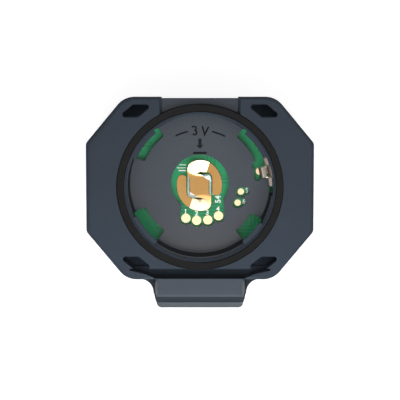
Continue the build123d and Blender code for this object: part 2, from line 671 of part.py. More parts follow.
def foot_plan(shrink=0.0):
    """Right foot of the negative contact: a crescent that reaches down from the fold."""
    reach = LEAF_WIDTH
    inner = LEAF_STRIP_WIDTH / 2 + LEAF_SLIT + shrink
    fold_low = LEAF_SLIT_LEVEL + LEAF_SLIT / 2 + shrink
    crescent = leaf_window(inner, reach, -LEAF_FOOT_END + shrink, reach)
    root = leaf_window(LEAF_FOLD_X, reach, fold_low, reach)
    return leaf_oval(shrink) & (crescent + root)


def arm_plan():
    """Plan of the sloping arm between the fold and the table's upper corner."""
    low = LEAF_SLIT_LEVEL + LEAF_SLIT / 2
    return leaf_oval() & leaf_window(LEAF_TURN_X, LEAF_FOLD_X, low, LEAF_LENGTH)


def table_plan():
    """Plan of the raised table with the two corners that the arms run into."""
    half = LEAF_STRIP_WIDTH / 2
    plan = leaf_oval() & leaf_window(-half, half, -LEAF_LENGTH, LEAF_LENGTH)
    gap = leaf_window(LEAF_TURN_X, LEAF_WIDTH, LEAF_SLIT_LEVEL - LEAF_SLIT / 2, LEAF_LENGTH)
    return plan - gap - Rot(0, 0, 180) * gap


def both_ways(shape):
    """A shape and its copy turned by half a turn, moved to the contact's place."""
    place = Pos(LEAF_CENTRE[0], LEAF_CENTRE[1], 0)
    return [place * shape, place * Rot(0, 0, 180) * shape]


def foot_bottom():
    """Height of the underside of the negative contact's feet, on their lands."""
    return BOARD_TOP + LAND_THICKNESS


def table_bottom():
    """Height of the underside of the negative contact's table when no cell is in."""
    return FLOOR_TOP + LEAF_PROUD - LEAF_THICKNESS


def leaf_feet():
    """The two soldered feet of the negative contact."""
    return both_ways(prism(foot_plan(), foot_bottom(), foot_bottom() + LEAF_THICKNESS))


def leaf_lands():
    """Solder lands under the feet."""
    return both_ways(prism(foot_plan(LAND_INSET), BOARD_TOP, foot_bottom()))


def leaf_arms():
    """The two sloping arms, each a bent strip trimmed to the oval."""
    low, high = foot_bottom(), table_bottom()
    strip = [
        (LEAF_FOLD_X, low), (LEAF_FOLD_X, low + LEAF_THICKNESS),
        (LEAF_TURN_X, high + LEAF_THICKNESS), (LEAF_TURN_X, high),
    ]
    side = Plane(origin=(0, 0, 0), x_dir=(1, 0, 0), z_dir=(0, -1, 0))
    ramp = extrude(side * make_face(Polyline(*strip, close=True)), amount=-LEAF_LENGTH)
    return both_ways(ramp & prism(arm_plan(), BOARD_TOP, REAR_FACE))


def leaf_table():
    """The raised table that the cell presses down."""
    table = prism(table_plan(), table_bottom(), table_bottom() + LEAF_THICKNESS)
    return Pos(LEAF_CENTRE[0], LEAF_CENTRE[1], 0) * table


def spring_bottom():
    """Height of the lower edge of the positive contact's leaf."""
    return BOARD_TOP + SPRING_ABOVE_BOARD


def spring_plan(wing, nose):
    """Plan of the side spring at one height, given the radii of its wings and of its nose."""
    places = [
        (wing, -WING_HALF_ANGLE), (wing, -NOSE_FOOT_HALF_ANGLE), (nose, -NOSE_HALF_ANGLE),
        (nose, NOSE_HALF_ANGLE), (wing, NOSE_FOOT_HALF_ANGLE), (wing, WING_HALF_ANGLE),
    ]
    front = [polar(radius, NOSE_ANGLE + angle) for radius, angle in places]
    back = [polar(radius + SPRING_THICKNESS, NOSE_ANGLE + angle) for radius, angle in reversed(places)]
    return make_face(Polyline(*front, *back, close=True))


def positive_leaf():
    """Leaf of the positive contact: two wings along the wall and a nose, all leaning back."""
    high_wing = CELL_WELL_RADIUS + WING_BEHIND_BAY_WALL
    low_plan = spring_plan(high_wing - WING_LEAN, CELL_DIAMETER / 2 - NOSE_REACH_LOW)
    high_plan = spring_plan(high_wing, CELL_DIAMETER / 2 - NOSE_REACH_HIGH)
    sections = [
        Pos(0, 0, spring_bottom()) * low_plan, Pos(0, 0, spring_bottom() + SPRING_HEIGHT) * high_plan,
    ]
    return loft(sections, ruled=True)


def positive_base():
    """Base of the positive contact: a back plate on the pocket's wall and a foot on the board."""
    outer = pocket_radius() - POCKET_WALL_GAP
    inner = outer - SPRING_THICKNESS
    start, end = NOSE_ANGLE - WING_HALF_ANGLE, NOSE_ANGLE + WING_HALF_ANGLE
    low = BOARD_TOP + LAND_THICKNESS
    back = sector(inner, outer, start, end, low, spring_bottom() + SPRING_HEIGHT)
    foot = Box(
        CONTACT_FOOT_LENGTH + outer - CELL_WELL_RADIUS, CONTACT_FOOT_WIDTH, SPRING_THICKNESS,
        align=(Align.MAX, Align.CENTER, Align.MIN),
    )
    return back + Rot(0, 0, NOSE_ANGLE) * (Pos(inner + SPRING_THICKNESS / 2, 0, low) * foot)


def positive_land():
    """Round gold pad that the positive contact's foot is soldered on."""
    centre = polar(CONTACT_PAD_FROM_AXIS, NOSE_ANGLE)
    return disc(CONTACT_PAD_RADIUS, BOARD_TOP, BOARD_TOP + LAND_THICKNESS, *centre)


def soldered_block(spec):
    """Plain body of a part soldered under the board: centre x, y, size x, y and height."""
    x, y, size_x, size_y, height = spec
    top = BOARD_BOTTOM - SOLDER_GAP
    return Pos(x, y, top) * Box(size_x, size_y, height, align=(Align.CENTER, Align.CENTER, Align.MAX))


def chip(spec):
    """Moulded chip with a dimple at its first corner."""
    x, y, size_x, size_y, height = spec
    bottom = BOARD_BOTTOM - SOLDER_GAP - height
    corner_x = x - size_x / 2 + DIMPLE_FROM_EDGE
    corner_y = y + size_y / 2 - DIMPLE_FROM_EDGE
    return soldered_block(spec) - disc(DIMPLE_RADIUS, bottom, bottom + DIMPLE_DEPTH, corner_x, corner_y)


def crystal(spec):
    """Crystal in a flat can: a base with a slightly smaller lid."""
    x, y, size_x, size_y, height = spec
    top = BOARD_BOTTOM - SOLDER_GAP
    base = soldered_block((x, y, size_x, size_y, CRYSTAL_BASE_HEIGHT))
    lid_plan = RectangleRounded(size_x - 2 * LID_INSET, size_y - 2 * LID_INSET, LID_CORNER_RADIUS)
    return base + prism(Pos(x, y) * lid_plan, top - height, top)


def small_parts(places, height):
    """Group of equal two-ended chip parts."""
    return [soldered_block((x, y, SMALL_PART_WIDTH, SMALL_PART_LENGTH, height)) for x, y in places]


def status_lamp():
    """Light-emitting diode behind the window: a base with a smaller clear block on it."""
    size_x, size_y, height = LAMP_SIZE
    base = soldered_block((WINDOW_X, WINDOW_Y, size_x, size_y, LAMP_BASE_HEIGHT))
    return base + soldered_block((WINDOW_X, WINDOW_Y, LAMP_LENS_LENGTH, size_y, height))


NODES = {
    "rear_housing": rear_housing(),
    "front_housing": front_housing(),
    "bay_seal_ring": bay_seal_ring(),
    "circuit_board": circuit_board(),
    "negative_contact_feet": leaf_feet(),
    "negative_contact_arms": leaf_arms(),
    "negative_contact_table": leaf_table(),
    "negative_contact_lands": leaf_lands(),
    "positive_contact_base": positive_base(),
    "positive_contact_leaf": positive_leaf(),
    "positive_contact_land": positive_land(),
    "programming_pads": round_pads(PROGRAM_PADS, PROGRAM_PAD_RADIUS),
    "test_pads": round_pads(TEST_PADS, TEST_PAD_RADIUS),
    "radio_chip": chip(RADIO_CHIP),
    "motion_sensor": chip(MOTION_SENSOR),
    "main_crystal": crystal(MAIN_CRYSTAL),
    "watch_crystal": crystal(WATCH_CRYSTAL),
    "chip_antenna": soldered_block(CHIP_ANTENNA),
    "power_inductor": soldered_block(INDUCTOR),
    "reservoir_capacitor": soldered_block(RESERVOIR_CAPACITOR),
    "ceramic_capacitors": small_parts(CERAMIC_CAPACITORS, CAPACITOR_HEIGHT),
    "resistors": small_parts(RESISTORS, RESISTOR_HEIGHT),
    "status_lamp": status_lamp(),
    "light_window": light_window(),
}

os.makedirs("parts", exist_ok=True)
for name, shape in NODES.items():
    if isinstance(shape, list):
        shape = Compound(children=shape)
    export_step(shape, f"parts/{name}.step")
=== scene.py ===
# %% [markdown]
# # A bike speed sensor with its battery door off
# The object is a flat, eight-sided sensor that a rubber strap holds on a wheel hub. We look into its
# round battery bay. The solid model already has every rigid piece in its true place, so this script
# gives each piece the finish of the real one, and makes again the few pieces that bend: the contacts.

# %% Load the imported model
import math

import bpy
import numpy as np
from mathutils import Matrix, Vector


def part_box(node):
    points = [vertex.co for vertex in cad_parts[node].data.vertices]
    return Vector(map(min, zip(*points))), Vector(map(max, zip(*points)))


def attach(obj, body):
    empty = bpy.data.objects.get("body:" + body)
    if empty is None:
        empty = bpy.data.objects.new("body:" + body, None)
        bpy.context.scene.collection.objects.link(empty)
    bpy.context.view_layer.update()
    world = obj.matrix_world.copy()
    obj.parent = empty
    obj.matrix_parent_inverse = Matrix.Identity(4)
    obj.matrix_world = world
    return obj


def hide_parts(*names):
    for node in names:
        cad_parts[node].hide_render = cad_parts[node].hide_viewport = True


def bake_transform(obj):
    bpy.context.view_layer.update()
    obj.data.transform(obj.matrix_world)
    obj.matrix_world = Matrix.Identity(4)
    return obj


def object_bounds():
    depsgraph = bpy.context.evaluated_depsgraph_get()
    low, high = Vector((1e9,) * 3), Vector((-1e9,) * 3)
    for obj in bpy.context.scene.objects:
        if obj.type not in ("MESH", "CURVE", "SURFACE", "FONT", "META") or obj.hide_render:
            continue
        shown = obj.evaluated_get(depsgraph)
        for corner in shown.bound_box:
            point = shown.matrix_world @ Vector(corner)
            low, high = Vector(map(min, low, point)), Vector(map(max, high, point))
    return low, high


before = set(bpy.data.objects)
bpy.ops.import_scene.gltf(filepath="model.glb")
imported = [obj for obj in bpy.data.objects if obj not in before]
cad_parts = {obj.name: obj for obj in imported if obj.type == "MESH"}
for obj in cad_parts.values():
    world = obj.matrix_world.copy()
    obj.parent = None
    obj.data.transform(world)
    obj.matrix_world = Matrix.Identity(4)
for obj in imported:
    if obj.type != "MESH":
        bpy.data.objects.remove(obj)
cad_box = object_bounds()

# %% [markdown]
# ## Units and colours
# Blender works in metres and the sensor is made in millimetres, so one value turns the one into the
# other. Colours are given as sRGB codes, the way a paint program shows them. A shader wants
# linear light instead, so one function turns a code into that.

# %% Units and colours
MM = 0.001


def tint(code):
    """Linear colour of an sRGB hex code: each channel over 255, then the sRGB curve undone."""
    parts = np.array([int(code[start:start + 2], 16) for start in (0, 2, 4)]) / 255
    linear = np.where(parts <= 0.04045, parts / 12.92, ((parts + 0.055) / 1.055) ** 2.4)
    return (*linear.tolist(), 1.0)


def per(size_mm):
    """Texture scale that gives features of a size: texture units are one over metres."""
    return 1 / (size_mm * MM)


print("mid grey in linear light:", [round(channel, 3) for channel in tint("808080")[:3]])

# %% [markdown]
# ## One helper for every node
# A material is a small graph. Writing it node by node gets long, so one function adds any node, sets
# its properties, fills its sockets with values or with links from other nodes, and hands back the
# output that goes on from there.

# %% Helper for nodes
# Sockets of a Mix node that blends colours: it has others, for numbers and vectors, in between
FACTOR, FIRST, SECOND, BLEND = 0, 6, 7, 2
# The same for a Mix node that blends numbers
NUMBER_FIRST, NUMBER_SECOND = 2, 3


def add(tree, kind, sockets=None, out=0, **settings):
    """Add one node, set its properties, give its sockets values or links, and return an output."""
    made = tree.nodes.new("ShaderNode" + kind)
    for name, value in settings.items():
        setattr(made, name, value)
    for key, value in (sockets or {}).items():
        if isinstance(value, bpy.types.NodeSocket):
            tree.links.new(value, made.inputs[key])
        else:
            made.inputs[key].default_value = value
    return made.outputs[out]


def new_material(name, **values):
    """Material with one Principled shader, whose plain values are set on its own sockets."""
    made = bpy.data.materials.new(name)
    made.use_nodes = True
    shader = made.node_tree.nodes["Principled BSDF"]
    for key, value in values.items():
        shader.inputs[key.replace("_", " ")].default_value = value
    return made, made.node_tree, shader


print("node helpers ready")

# %% [markdown]
# ## The camera
# The photograph looks almost straight down into the bay, from a little above the top edge: circles are
# hardly flattened, and the inner wall shows only at the bottom. A long lens from 350 mm keeps the
# outline free of perspective. The camera's frame is built from its three axes, so nothing is rolled.

# %% Camera
PIXEL = 0.1458 * MM
FRAME_PIXELS = 400
CELL_AXIS_PIXEL = (199.9, 187.5)
TILT = math.radians(8.8)
CAMERA_DISTANCE = 350 * MM
NEAREST_SEEN = 10 * MM
SENSOR_MM = 36
rear_height = cad_box[1].z

middle = FRAME_PIXELS / 2
target = Vector((
    (middle - CELL_AXIS_PIXEL[0]) * PIXEL,
    (CELL_AXIS_PIXEL[1] - middle) * PIXEL / math.cos(TILT),
    rear_height,
))
backwards = Vector((0, math.sin(TILT), math.cos(TILT)))
rightwards = Vector((1, 0, 0))
upwards = backwards.cross(rightwards)
camera_data = bpy.data.cameras.new("photo_camera")
camera_data.sensor_width = SENSOR_MM
camera_data.lens = SENSOR_MM / 2 * CAMERA_DISTANCE / (middle * PIXEL)
camera_data.clip_start = NEAREST_SEEN
camera = bpy.data.objects.new("photo_camera", camera_data)
turned = Matrix((rightwards, upwards, backwards)).transposed().to_4x4()
camera.matrix_world = Matrix.Translation(target + backwards * CAMERA_DISTANCE) @ turned
bpy.context.scene.collection.objects.link(camera)
bpy.context.scene.camera = camera
print("lens of", round(camera_data.lens), "mm")

# %% [markdown]
# ## Soft studio light
# A pale room and one wide soft lamp, close by on the hook's side, light the sensor. What the gloss
# and the metal mirror is set apart from that, as a photographer does with white cards: two low cards
# by the lamp for the bay's floor, the hook and the lower arm of the gold contact, and large cards to
# the left, to the right and past the top edge, which turn its upper arm almost white.

# %% Lamps
# Each lamp: where it is in mm, its width and length in mm, how bright it looks, where 1 is white, and
# whether it lights things, or is only there to be mirrored
LAMPS = {
    "lamp_hook": ((0, -41, 46), (84, 62), 3.2, True),
    "card_low": ((0, -49, 38), (84, 44), 1.05, False),
    "card_hook": ((0, -26, 56), (84, 18), 1.7, False),
    "card_left": ((-124, 0, 157), (150, 110), 1.6, False),
    "card_right": ((124, 20, 157), (240, 110), 8.0, False),
    "card_top": ((0, 108, 168), (330, 140), 8.0, False),
}


def soft_lamp(name, place, size, level, lights_things):
    """Area lamp that faces the sensor: its power is pi times its area times how bright it looks."""
    lamp_data = bpy.data.lights.new(name, "AREA")
    lamp_data.shape = "RECTANGLE"
    lamp_data.size, lamp_data.size_y = size[0] * MM, size[1] * MM
    lamp_data.energy = math.pi * lamp_data.size * lamp_data.size_y * level
    lamp = bpy.data.objects.new(name, lamp_data)
    lamp.location = Vector(place) * MM
    lamp.rotation_euler = lamp.location.to_track_quat("Z", "Y").to_euler()
    lamp.visible_camera = False
    lamp.visible_diffuse = lights_things
    lamp.visible_glossy = not lights_things
    bpy.context.scene.collection.objects.link(lamp)
    return lamp_data.energy


for lamp_name, settings in LAMPS.items():
    print(lamp_name, "of", round(soft_lamp(lamp_name, *settings), 2), "W")

# %% [markdown]
# ## White background
# Cycles tells a shader what kind of ray asks. The camera, mirrors and glass see the background as
# white, and the light that falls on dull surfaces stays at the room's plain level.

# %% White background
ROOM_LEVEL = 0.4


def seen_directly(tree):
    """One for the rays of the camera, of mirrors and of glass, and nothing for light on dull surfaces."""
    rays = add(tree, "LightPath").node.outputs
    looked_at = add(
        tree, "Math", {0: rays["Is Camera Ray"], 1: rays["Is Glossy Ray"]}, operation="MAXIMUM",
    )
    return add(tree, "Math", {0: looked_at, 1: rays["Is Transmission Ray"]}, operation="MAXIMUM")


world = bpy.data.worlds.new("studio")
world.use_nodes = True
bpy.context.scene.world = world
world_tree = world.node_tree
room = add(
    world_tree, "MapRange", {"Value": seen_directly(world_tree), "To Min": ROOM_LEVEL, "To Max": 1.0},
)
world_light = world_tree.nodes["Background"]
world_light.inputs["Color"].default_value = tint("ffffff")
world_tree.links.new(room, world_light.inputs["Strength"])
bpy.context.scene.view_settings.view_transform = "Standard"
print("room at", ROOM_LEVEL, "of white")

# %% [markdown]
# ## The table it lies on
# A pale, matt board. Seen by the camera it glows a little, which lifts it to the white of the
# photograph, while the light that it throws back on the sensor stays plain, and so does the shadow.

# %% Floor
FLOOR_HALF = 3.0
FLOOR_DROP = 0.02 * MM
FLOOR_GLOW = 0.8

floor_mesh = bpy.data.meshes.new("floor")
floor_ring = np.array([(-1, -1), (1, -1), (1, 1), (-1, 1)]) * FLOOR_HALF
floor_mesh.from_pydata([(x, y, -FLOOR_DROP) for x, y in floor_ring.tolist()], [], [(0, 1, 2, 3)])
floor = bpy.data.objects.new("floor", floor_mesh)
bpy.context.scene.collection.objects.link(floor)
floor_paint, floor_tree, floor_shader = new_material(
    "pale painted board", Roughness=0.9, Base_Color=tint("adadad"), Emission_Color=tint("ffffff"),
)
floor_glow = add(floor_tree, "Math", {0: seen_directly(floor_tree), 1: FLOOR_GLOW}, operation="MULTIPLY")
floor_tree.links.new(floor_glow, floor_shader.inputs["Emission Strength"])
floor_mesh.materials.append(floor_paint)
print("floor of", 2 * FLOOR_HALF, "m")

# %% [markdown]
# ## A grain for every surface
# Nothing that is moulded, plated or printed is perfectly smooth. Noise of the grain's size, read in the
# piece's own coordinates, drives a bump, which tips the light without moving the surface. Real grains
# are often only hundredths of a millimetre wide. Those are drawn at about 0.1 mm, so that they show.

# %% Grain
def mould_grain(tree, shader, size_mm, depth_mm, strength):
    """Fine pitted bump of a size and a depth: returns the coordinates and the noise, for other uses."""
    place = add(tree, "TexCoord", out="Object")
    pits = add(tree, "TexNoise", {"Vector": place, "Scale": per(size_mm), "Detail": 3.0, "Roughness": 0.6})
    bump = add(tree, "Bump", {"Height": pits, "Strength": strength, "Distance": depth_mm * MM})
    tree.links.new(bump, shader.inputs["Normal"])
    return place, pits


def dress(node_name, material):
    """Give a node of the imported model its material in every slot."""
    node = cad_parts[node_name]
    if not node.material_slots:
        node.data.materials.append(material)
    for material_slot in node.material_slots:
        material_slot.material = material


print("texture scale for a grain of 0.1 mm:", round(per(0.1)))

# %% [markdown]
# ## Housing: moulded nylon with a sparked texture
# The shell is injection-moulded nylon, blue-grey and matt. Its mould was finished by spark erosion,
# which leaves a fine pitted grain about 0.1 mm across, so light spreads softly over it. The bay's
# floor, the hook and the strap recess were finished finer: a smooth skin lies on the grain there, and
# a soft coat on the shader gives its gloss. The cut signs and the upright walls keep no skin. The
# signs, the bay's walls and, half as much, the hook's steep face are painted darker, a painted shade
# for the shadow that falls on them. One material can tell all these faces apart by where they are:
# their height, their distance from the bay's axis, and how far along the sensor they lie.

# %% Zones of the housing
# Heights above the front face, in mm: the parting line, the floor of the cut signs and how sharply it
# is told from other levels, the upright walls, and the stretch in which the skin fades to the rear face
SPLIT_MM = 3.05
SIGN_FLOOR_MM, SIGN_BLEND_MM = 3.8, 0.06
WALL_MM, WALL_BLEND_MM = (4.3, 6.45), 0.1
REAR_RAMP_MM = (6.6, 7.7)
# Places in plan, in mm: inside this radius is the bay, past these lines are the hook and the recess
BAY_RADIUS_MM = 10.9
HOOK_START_MM = -13.4
RECESS_START_MM = 11.0
# How much of the painted wall shade the hook's upright faces take
HOOK_SHADE = 0.5


def housing_places(tree, place):
    """Height and length coordinates of a point, and whether it is in the bay or on the hook."""
    spot = add(tree, "SeparateXYZ", {0: place}).node.outputs
    plan = add(tree, "VectorMath", {0: place, 1: (1, 1, 0)}, operation="MULTIPLY")
    from_axis = add(tree, "VectorMath", {0: plan}, out="Value", operation="LENGTH")
    bay = add(tree, "Math", {0: from_axis, 1: BAY_RADIUS_MM * MM}, operation="LESS_THAN")
    hook = add(tree, "Math", {0: spot["Y"], 1: HOOK_START_MM * MM}, operation="LESS_THAN")
    return spot["Z"], spot["Y"], bay, hook


def fine_finish(tree, height, lengthways, bay, hook):
    """One in the bay, on the hook and in the strap recess, but only behind the parting line."""
    high = add(tree, "Math", {0: height, 1: REAR_RAMP_MM[0] * MM}, operation="GREATER_THAN")
    far = add(tree, "Math", {0: lengthways, 1: RECESS_START_MM * MM}, operation="GREATER_THAN")
    recess = add(tree, "Math", {0: high, 1: far}, operation="MULTIPLY")
    ends = add(tree, "Math", {0: hook, 1: recess}, operation="MAXIMUM")
    places = add(tree, "Math", {0: bay, 1: ends}, operation="MAXIMUM")
    rear_half = add(tree, "Math", {0: height, 1: SPLIT_MM * MM}, operation="GREATER_THAN")
    return add(tree, "Math", {0: places, 1: rear_half}, operation="MULTIPLY")


def between_levels(tree, height, low_mm, high_mm):
    """One between two heights, falling softly to nothing on either side."""
    rise = {"Value": height, "From Min": low_mm * MM, "From Max": (low_mm + WALL_BLEND_MM) * MM}
    drop = {"Value": height, "From Min": (high_mm - WALL_BLEND_MM) * MM, "From Max": high_mm * MM}
    above = add(tree, "MapRange", {**rise, "To Min": 0.0, "To Max": 1.0})
    below = add(tree, "MapRange", {**drop, "To Min": 1.0, "To Max": 0.0})
    return add(tree, "Math", {0: above, 1: below}, operation="MULTIPLY")


def painted_shade_and_grain(tree, height, bay, hook):
    """Two shares from 0 to 1: how much painted shade darkens a face, and how far its grain hides the skin.
    """
    sign = add(
        tree, "Math", {0: height, 1: SIGN_FLOOR_MM * MM, 2: SIGN_BLEND_MM * MM}, operation="COMPARE",
    )
    wall = between_levels(tree, height, *WALL_MM)
    on_hook = add(tree, "Math", {0: hook, 1: HOOK_SHADE}, operation="MULTIPLY")
    share = add(tree, "Math", {0: bay, 1: on_hook}, operation="MAXIMUM")
    painted_wall_shade = add(tree, "Math", {0: wall, 1: share}, operation="MULTIPLY")
    painted_shade = add(tree, "Math", {0: sign, 1: painted_wall_shade}, operation="MAXIMUM")
    sign_or_wall = add(tree, "Math", {0: wall, 1: sign}, operation="MAXIMUM")
    ramp = {"Value": height, "From Min": REAR_RAMP_MM[0] * MM, "From Max": REAR_RAMP_MM[1] * MM}
    rear = add(tree, "MapRange", {**ramp, "To Min": 0.0, "To Max": 1.0})
    return painted_shade, add(tree, "Math", {0: sign_or_wall, 1: rear}, operation="MAXIMUM")


print("bay of", 2 * BAY_RADIUS_MM, "mm; the hook starts", -HOOK_START_MM, "mm from its axis")

# %% [markdown]
# The colour is a slow cloud between two blue-greys, with the pits of the grain a little lighter. The
# grain also drives the roughness, and the skin is a coat that is there only where the mould was fine.

# %% Moulded housing material
GRAIN_MM = 0.11
GRAIN_DEPTH_MM = 0.006
GRAIN_STRENGTH = 0.4
CLOUD_MM = 7.0
PIT_REACH = 0.22
GRAIN_RANGE = (0.3, 0.7)
ROUGH_GRAIN = (0.6, 0.75)
SKIN_WEIGHT = 0.8
SKIN_ROUGHNESS = 0.23


def moulded_housing():
    """Blue-grey nylon: cloudy and grained, with a skin on fine faces, and painted shade on walls and
    signs.
    """
    made, tree, shader = new_material(
        "spark textured moulded nylon",
        IOR=1.53, Specular_IOR_Level=0.07, Coat_Roughness=SKIN_ROUGHNESS,
    )
    place, pits = mould_grain(tree, shader, GRAIN_MM, GRAIN_DEPTH_MM, GRAIN_STRENGTH)
    cloud = add(tree, "TexNoise", {"Vector": place, "Scale": per(CLOUD_MM), "Detail": 2.0})
    colours = {FACTOR: cloud, FIRST: tint("242c35"), SECOND: tint("2a333d")}
    clouded = add(tree, "Mix", colours, out=BLEND, data_type="RGBA")
    pit_range = {"Value": pits, "From Min": GRAIN_RANGE[0], "From Max": GRAIN_RANGE[1]}
    speckle = add(tree, "MapRange", {**pit_range, "To Min": 0.0, "To Max": PIT_REACH})
    colours = {FACTOR: speckle, FIRST: clouded, SECOND: tint("434d5f")}
    grained = add(tree, "Mix", colours, out=BLEND, data_type="RGBA")
    height, lengthways, bay, hook = housing_places(tree, place)
    painted_shade, grainy = painted_shade_and_grain(tree, height, bay, hook)
    # Painted shade: sign floors, bay walls and the hook's steep face darken towards near black
    colours = {FACTOR: painted_shade, FIRST: grained, SECOND: tint("0f1114")}
    colour = add(tree, "Mix", colours, out=BLEND, data_type="RGBA")
    rough = add(tree, "MapRange", {**pit_range, "To Min": ROUGH_GRAIN[0], "To Max": ROUGH_GRAIN[1]})
    bare = add(tree, "MapRange", {"Value": grainy, "To Min": SKIN_WEIGHT, "To Max": 0.0})
    fine = fine_finish(tree, height, lengthways, bay, hook)
    skin = add(tree, "Math", {0: bare, 1: fine}, operation="MULTIPLY")
    tree.links.new(skin, shader.inputs["Coat Weight"])
    tree.links.new(colour, shader.inputs["Base Color"])
    tree.links.new(rough, shader.inputs["Roughness"])
    return made


housing_plastic = moulded_housing()
for shell in ("rear_housing", "front_housing"):
    dress(shell, housing_plastic)
print("housing grain of", GRAIN_MM, "mm")

# %% [markdown]
# ## Seal ring: moulded rubber
# A flat black gasket lies round the bay and seals the door. It is moulded nitrile rubber: nearly
# black, matt, with a faint bloom of dust that a soft noise brings out, and no sharp gloss anywhere.

# %% Seal material
RUBBER_SKIN = (0.25, 0.006, 0.35)
BLOOM_MM = 2.2


def moulded_rubber():
    """Black rubber with a faint dusty bloom and a fine skin."""
    made, tree, shader = new_material(
        "moulded nitrile rubber", IOR=1.5, Roughness=0.62, Specular_IOR_Level=0.05,
    )
    place, pits = mould_grain(tree, shader, *RUBBER_SKIN)
    bloom = add(tree, "TexNoise", {"Vector": place, "Scale": per(BLOOM_MM), "Detail": 4.0})
    amount = add(tree, "Math", {0: bloom, 1: pits}, operation="MULTIPLY")
    colours = {FACTOR: amount, FIRST: tint("0c0c0c"), SECOND: tint("1e1e1e")}
    tree.links.new(add(tree, "Mix", colours, out=BLEND, data_type="RGBA"), shader.inputs["Base Color"])
    return made


dress("bay_seal_ring", moulded_rubber())
print("seal ring skin of", RUBBER_SKIN[0], "mm")

# %% [markdown]
# ## Circuit board: green solder mask over copper
# The board is glass-fibre laminate under green lacquer. Where copper runs below the lacquer the green
# is lighter, where there is bare laminate it is darker, and small plated holes dot the ground. Copper
# is drawn as bands 0.55 mm apart that run either way in patches, as routed tracks do, and some patches
# are copper all over.

# %% Board material
TRACK_PITCH_MM = 0.55
TRACK_EDGE = 0.62
PATCH_MM = 2.6
TURNED_FROM = 0.5
POURED_FROM = 0.45
VIA_PITCH_MM = 1.9
VIA_RADIUS_MM = 0.11
VIA_SCATTER = 0.75
MASK_STEP_MM = 0.02
# A Wave texture's bands lie about 2 / tau of a unit apart
WAVE_UNIT = 2 / math.tau


def copper_pattern(tree, place):
    """One over copper: bands of a wave, one way or the other by patch, and whole poured patches."""
    patch = add(tree, "TexVoronoi", {"Vector": place, "Scale": per(PATCH_MM)}, out="Color")
    choice = add(tree, "SeparateColor", {0: patch}).node.outputs
    wave = {"Vector": place, "Scale": per(TRACK_PITCH_MM) * WAVE_UNIT}
    along = add(tree, "TexWave", wave, out="Fac", bands_direction="X")
    across = add(tree, "TexWave", wave, out="Fac", bands_direction="Y")
    turned_patch = add(tree, "Math", {0: choice[0], 1: TURNED_FROM}, operation="GREATER_THAN")
    bands = add(
        tree, "Mix", {FACTOR: turned_patch, NUMBER_FIRST: along, NUMBER_SECOND: across}, data_type="FLOAT",
    )
    tracks = add(tree, "Math", {0: bands, 1: TRACK_EDGE}, operation="GREATER_THAN")
    poured = add(tree, "Math", {0: choice[1], 1: POURED_FROM}, operation="GREATER_THAN")
    return add(tree, "Math", {0: tracks, 1: poured}, operation="MAXIMUM")


def solder_mask():
    """Green lacquer whose shade and height follow the copper, with small plated holes."""
    made, tree, shader = new_material(
        "solder mask on laminate", IOR=1.5, Roughness=0.3, Specular_IOR_Level=0.25,
    )
    place = add(tree, "TexCoord", out="Object")
    copper = copper_pattern(tree, place)
    colours = {FACTOR: copper, FIRST: tint("177b4c"), SECOND: tint("1d905b")}
    green = add(tree, "Mix", colours, out=BLEND, data_type="RGBA")
    cells = {"Vector": place, "Scale": per(VIA_PITCH_MM), "Randomness": VIA_SCATTER}
    from_hole = add(tree, "TexVoronoi", cells, out="Distance")
    hole = add(tree, "Math", {0: from_hole, 1: VIA_RADIUS_MM / VIA_PITCH_MM}, operation="LESS_THAN")
    colours = {FACTOR: hole, FIRST: green, SECOND: tint("0d3f2a")}
    drilled = add(tree, "Mix", colours, out=BLEND, data_type="RGBA")
    step = add(tree, "Bump", {"Height": copper, "Strength": 0.2, "Distance": MASK_STEP_MM * MM})
    tree.links.new(drilled, shader.inputs["Base Color"])
    tree.links.new(step, shader.inputs["Normal"])
    return made


dress("circuit_board", solder_mask())
print("board tracks every", TRACK_PITCH_MM, "mm")

# %% [markdown]
# ## Metals: gold, nickel and solder
# A metal has no colour of its own besides its reflection, so its colour, its roughness and a fine
# texture make the difference. The S-shaped spring is bronze with matt hard gold. The flat pads are
# immersion gold, paler and smoother. The side spring is nickel-plated steel, brushed along its strip,
# and solder is bright, slightly wavy tin. The spring's mesh will carry attributes that say where its
# colour is painted: a painted highlight on the arms, a painted glint on two corners, a painted
# reflection on the rim and a painted shade inside it. Its material reads them.

# %% Metal materials
DRIFT_MM = 1.4
ROUGH_SPREAD = (0.85, 1.15)
# Painted colours on the S leaf: the arms paler, a painted highlight for the light their slopes
# mirror; two dipped corners near white, a painted glint; the rim pale green-grey, a painted
# reflection of the board; and a dark line inside it, a painted crease shade
LEAF_PLACES = {"painted_arm_highlight": "d8c2a0", "painted_corner_glint": "dcdce4", "painted_rim_reflection": "9fb6aa", "painted_crease_shade": "4a4130"}


def plated_metal(name, codes, roughness, skin, place_codes=None):
    """Metal whose colour drifts between two codes, with a skin, and in places painted highlight, glint,
    reflection and shade colours.

    The skin is its grain's size in mm, depth in mm and strength, and the roughness follows it.
    """
    made, tree, shader = new_material(name, Metallic=1.0)
    place, grain = mould_grain(tree, shader, *skin)
    drift = add(tree, "TexNoise", {"Vector": place, "Scale": per(DRIFT_MM), "Detail": 3.0})
    colours = {FACTOR: drift, FIRST: tint(codes[0]), SECOND: tint(codes[1])}
    colour = add(tree, "Mix", colours, out=BLEND, data_type="RGBA")
    for attribute_name, place_code in (place_codes or {}).items():
        amount = add(tree, "Attribute", out="Fac", attribute_name=attribute_name)
        colours = {FACTOR: amount, FIRST: colour, SECOND: tint(place_code)}
        colour = add(tree, "Mix", colours, out=BLEND, data_type="RGBA")
    if place_codes:
        metal_share = add(tree, "Attribute", out="Fac", attribute_name="metal_share")
        tree.links.new(metal_share, shader.inputs["Metallic"])
    tree.links.new(colour, shader.inputs["Base Color"])
    low, high = (roughness * spread for spread in ROUGH_SPREAD)
    grain_range = {"Value": grain, "From Min": GRAIN_RANGE[0], "From Max": GRAIN_RANGE[1]}
    rough = add(tree, "MapRange", {**grain_range, "To Min": low, "To Max": high})
    tree.links.new(rough, shader.inputs["Roughness"])
    return made


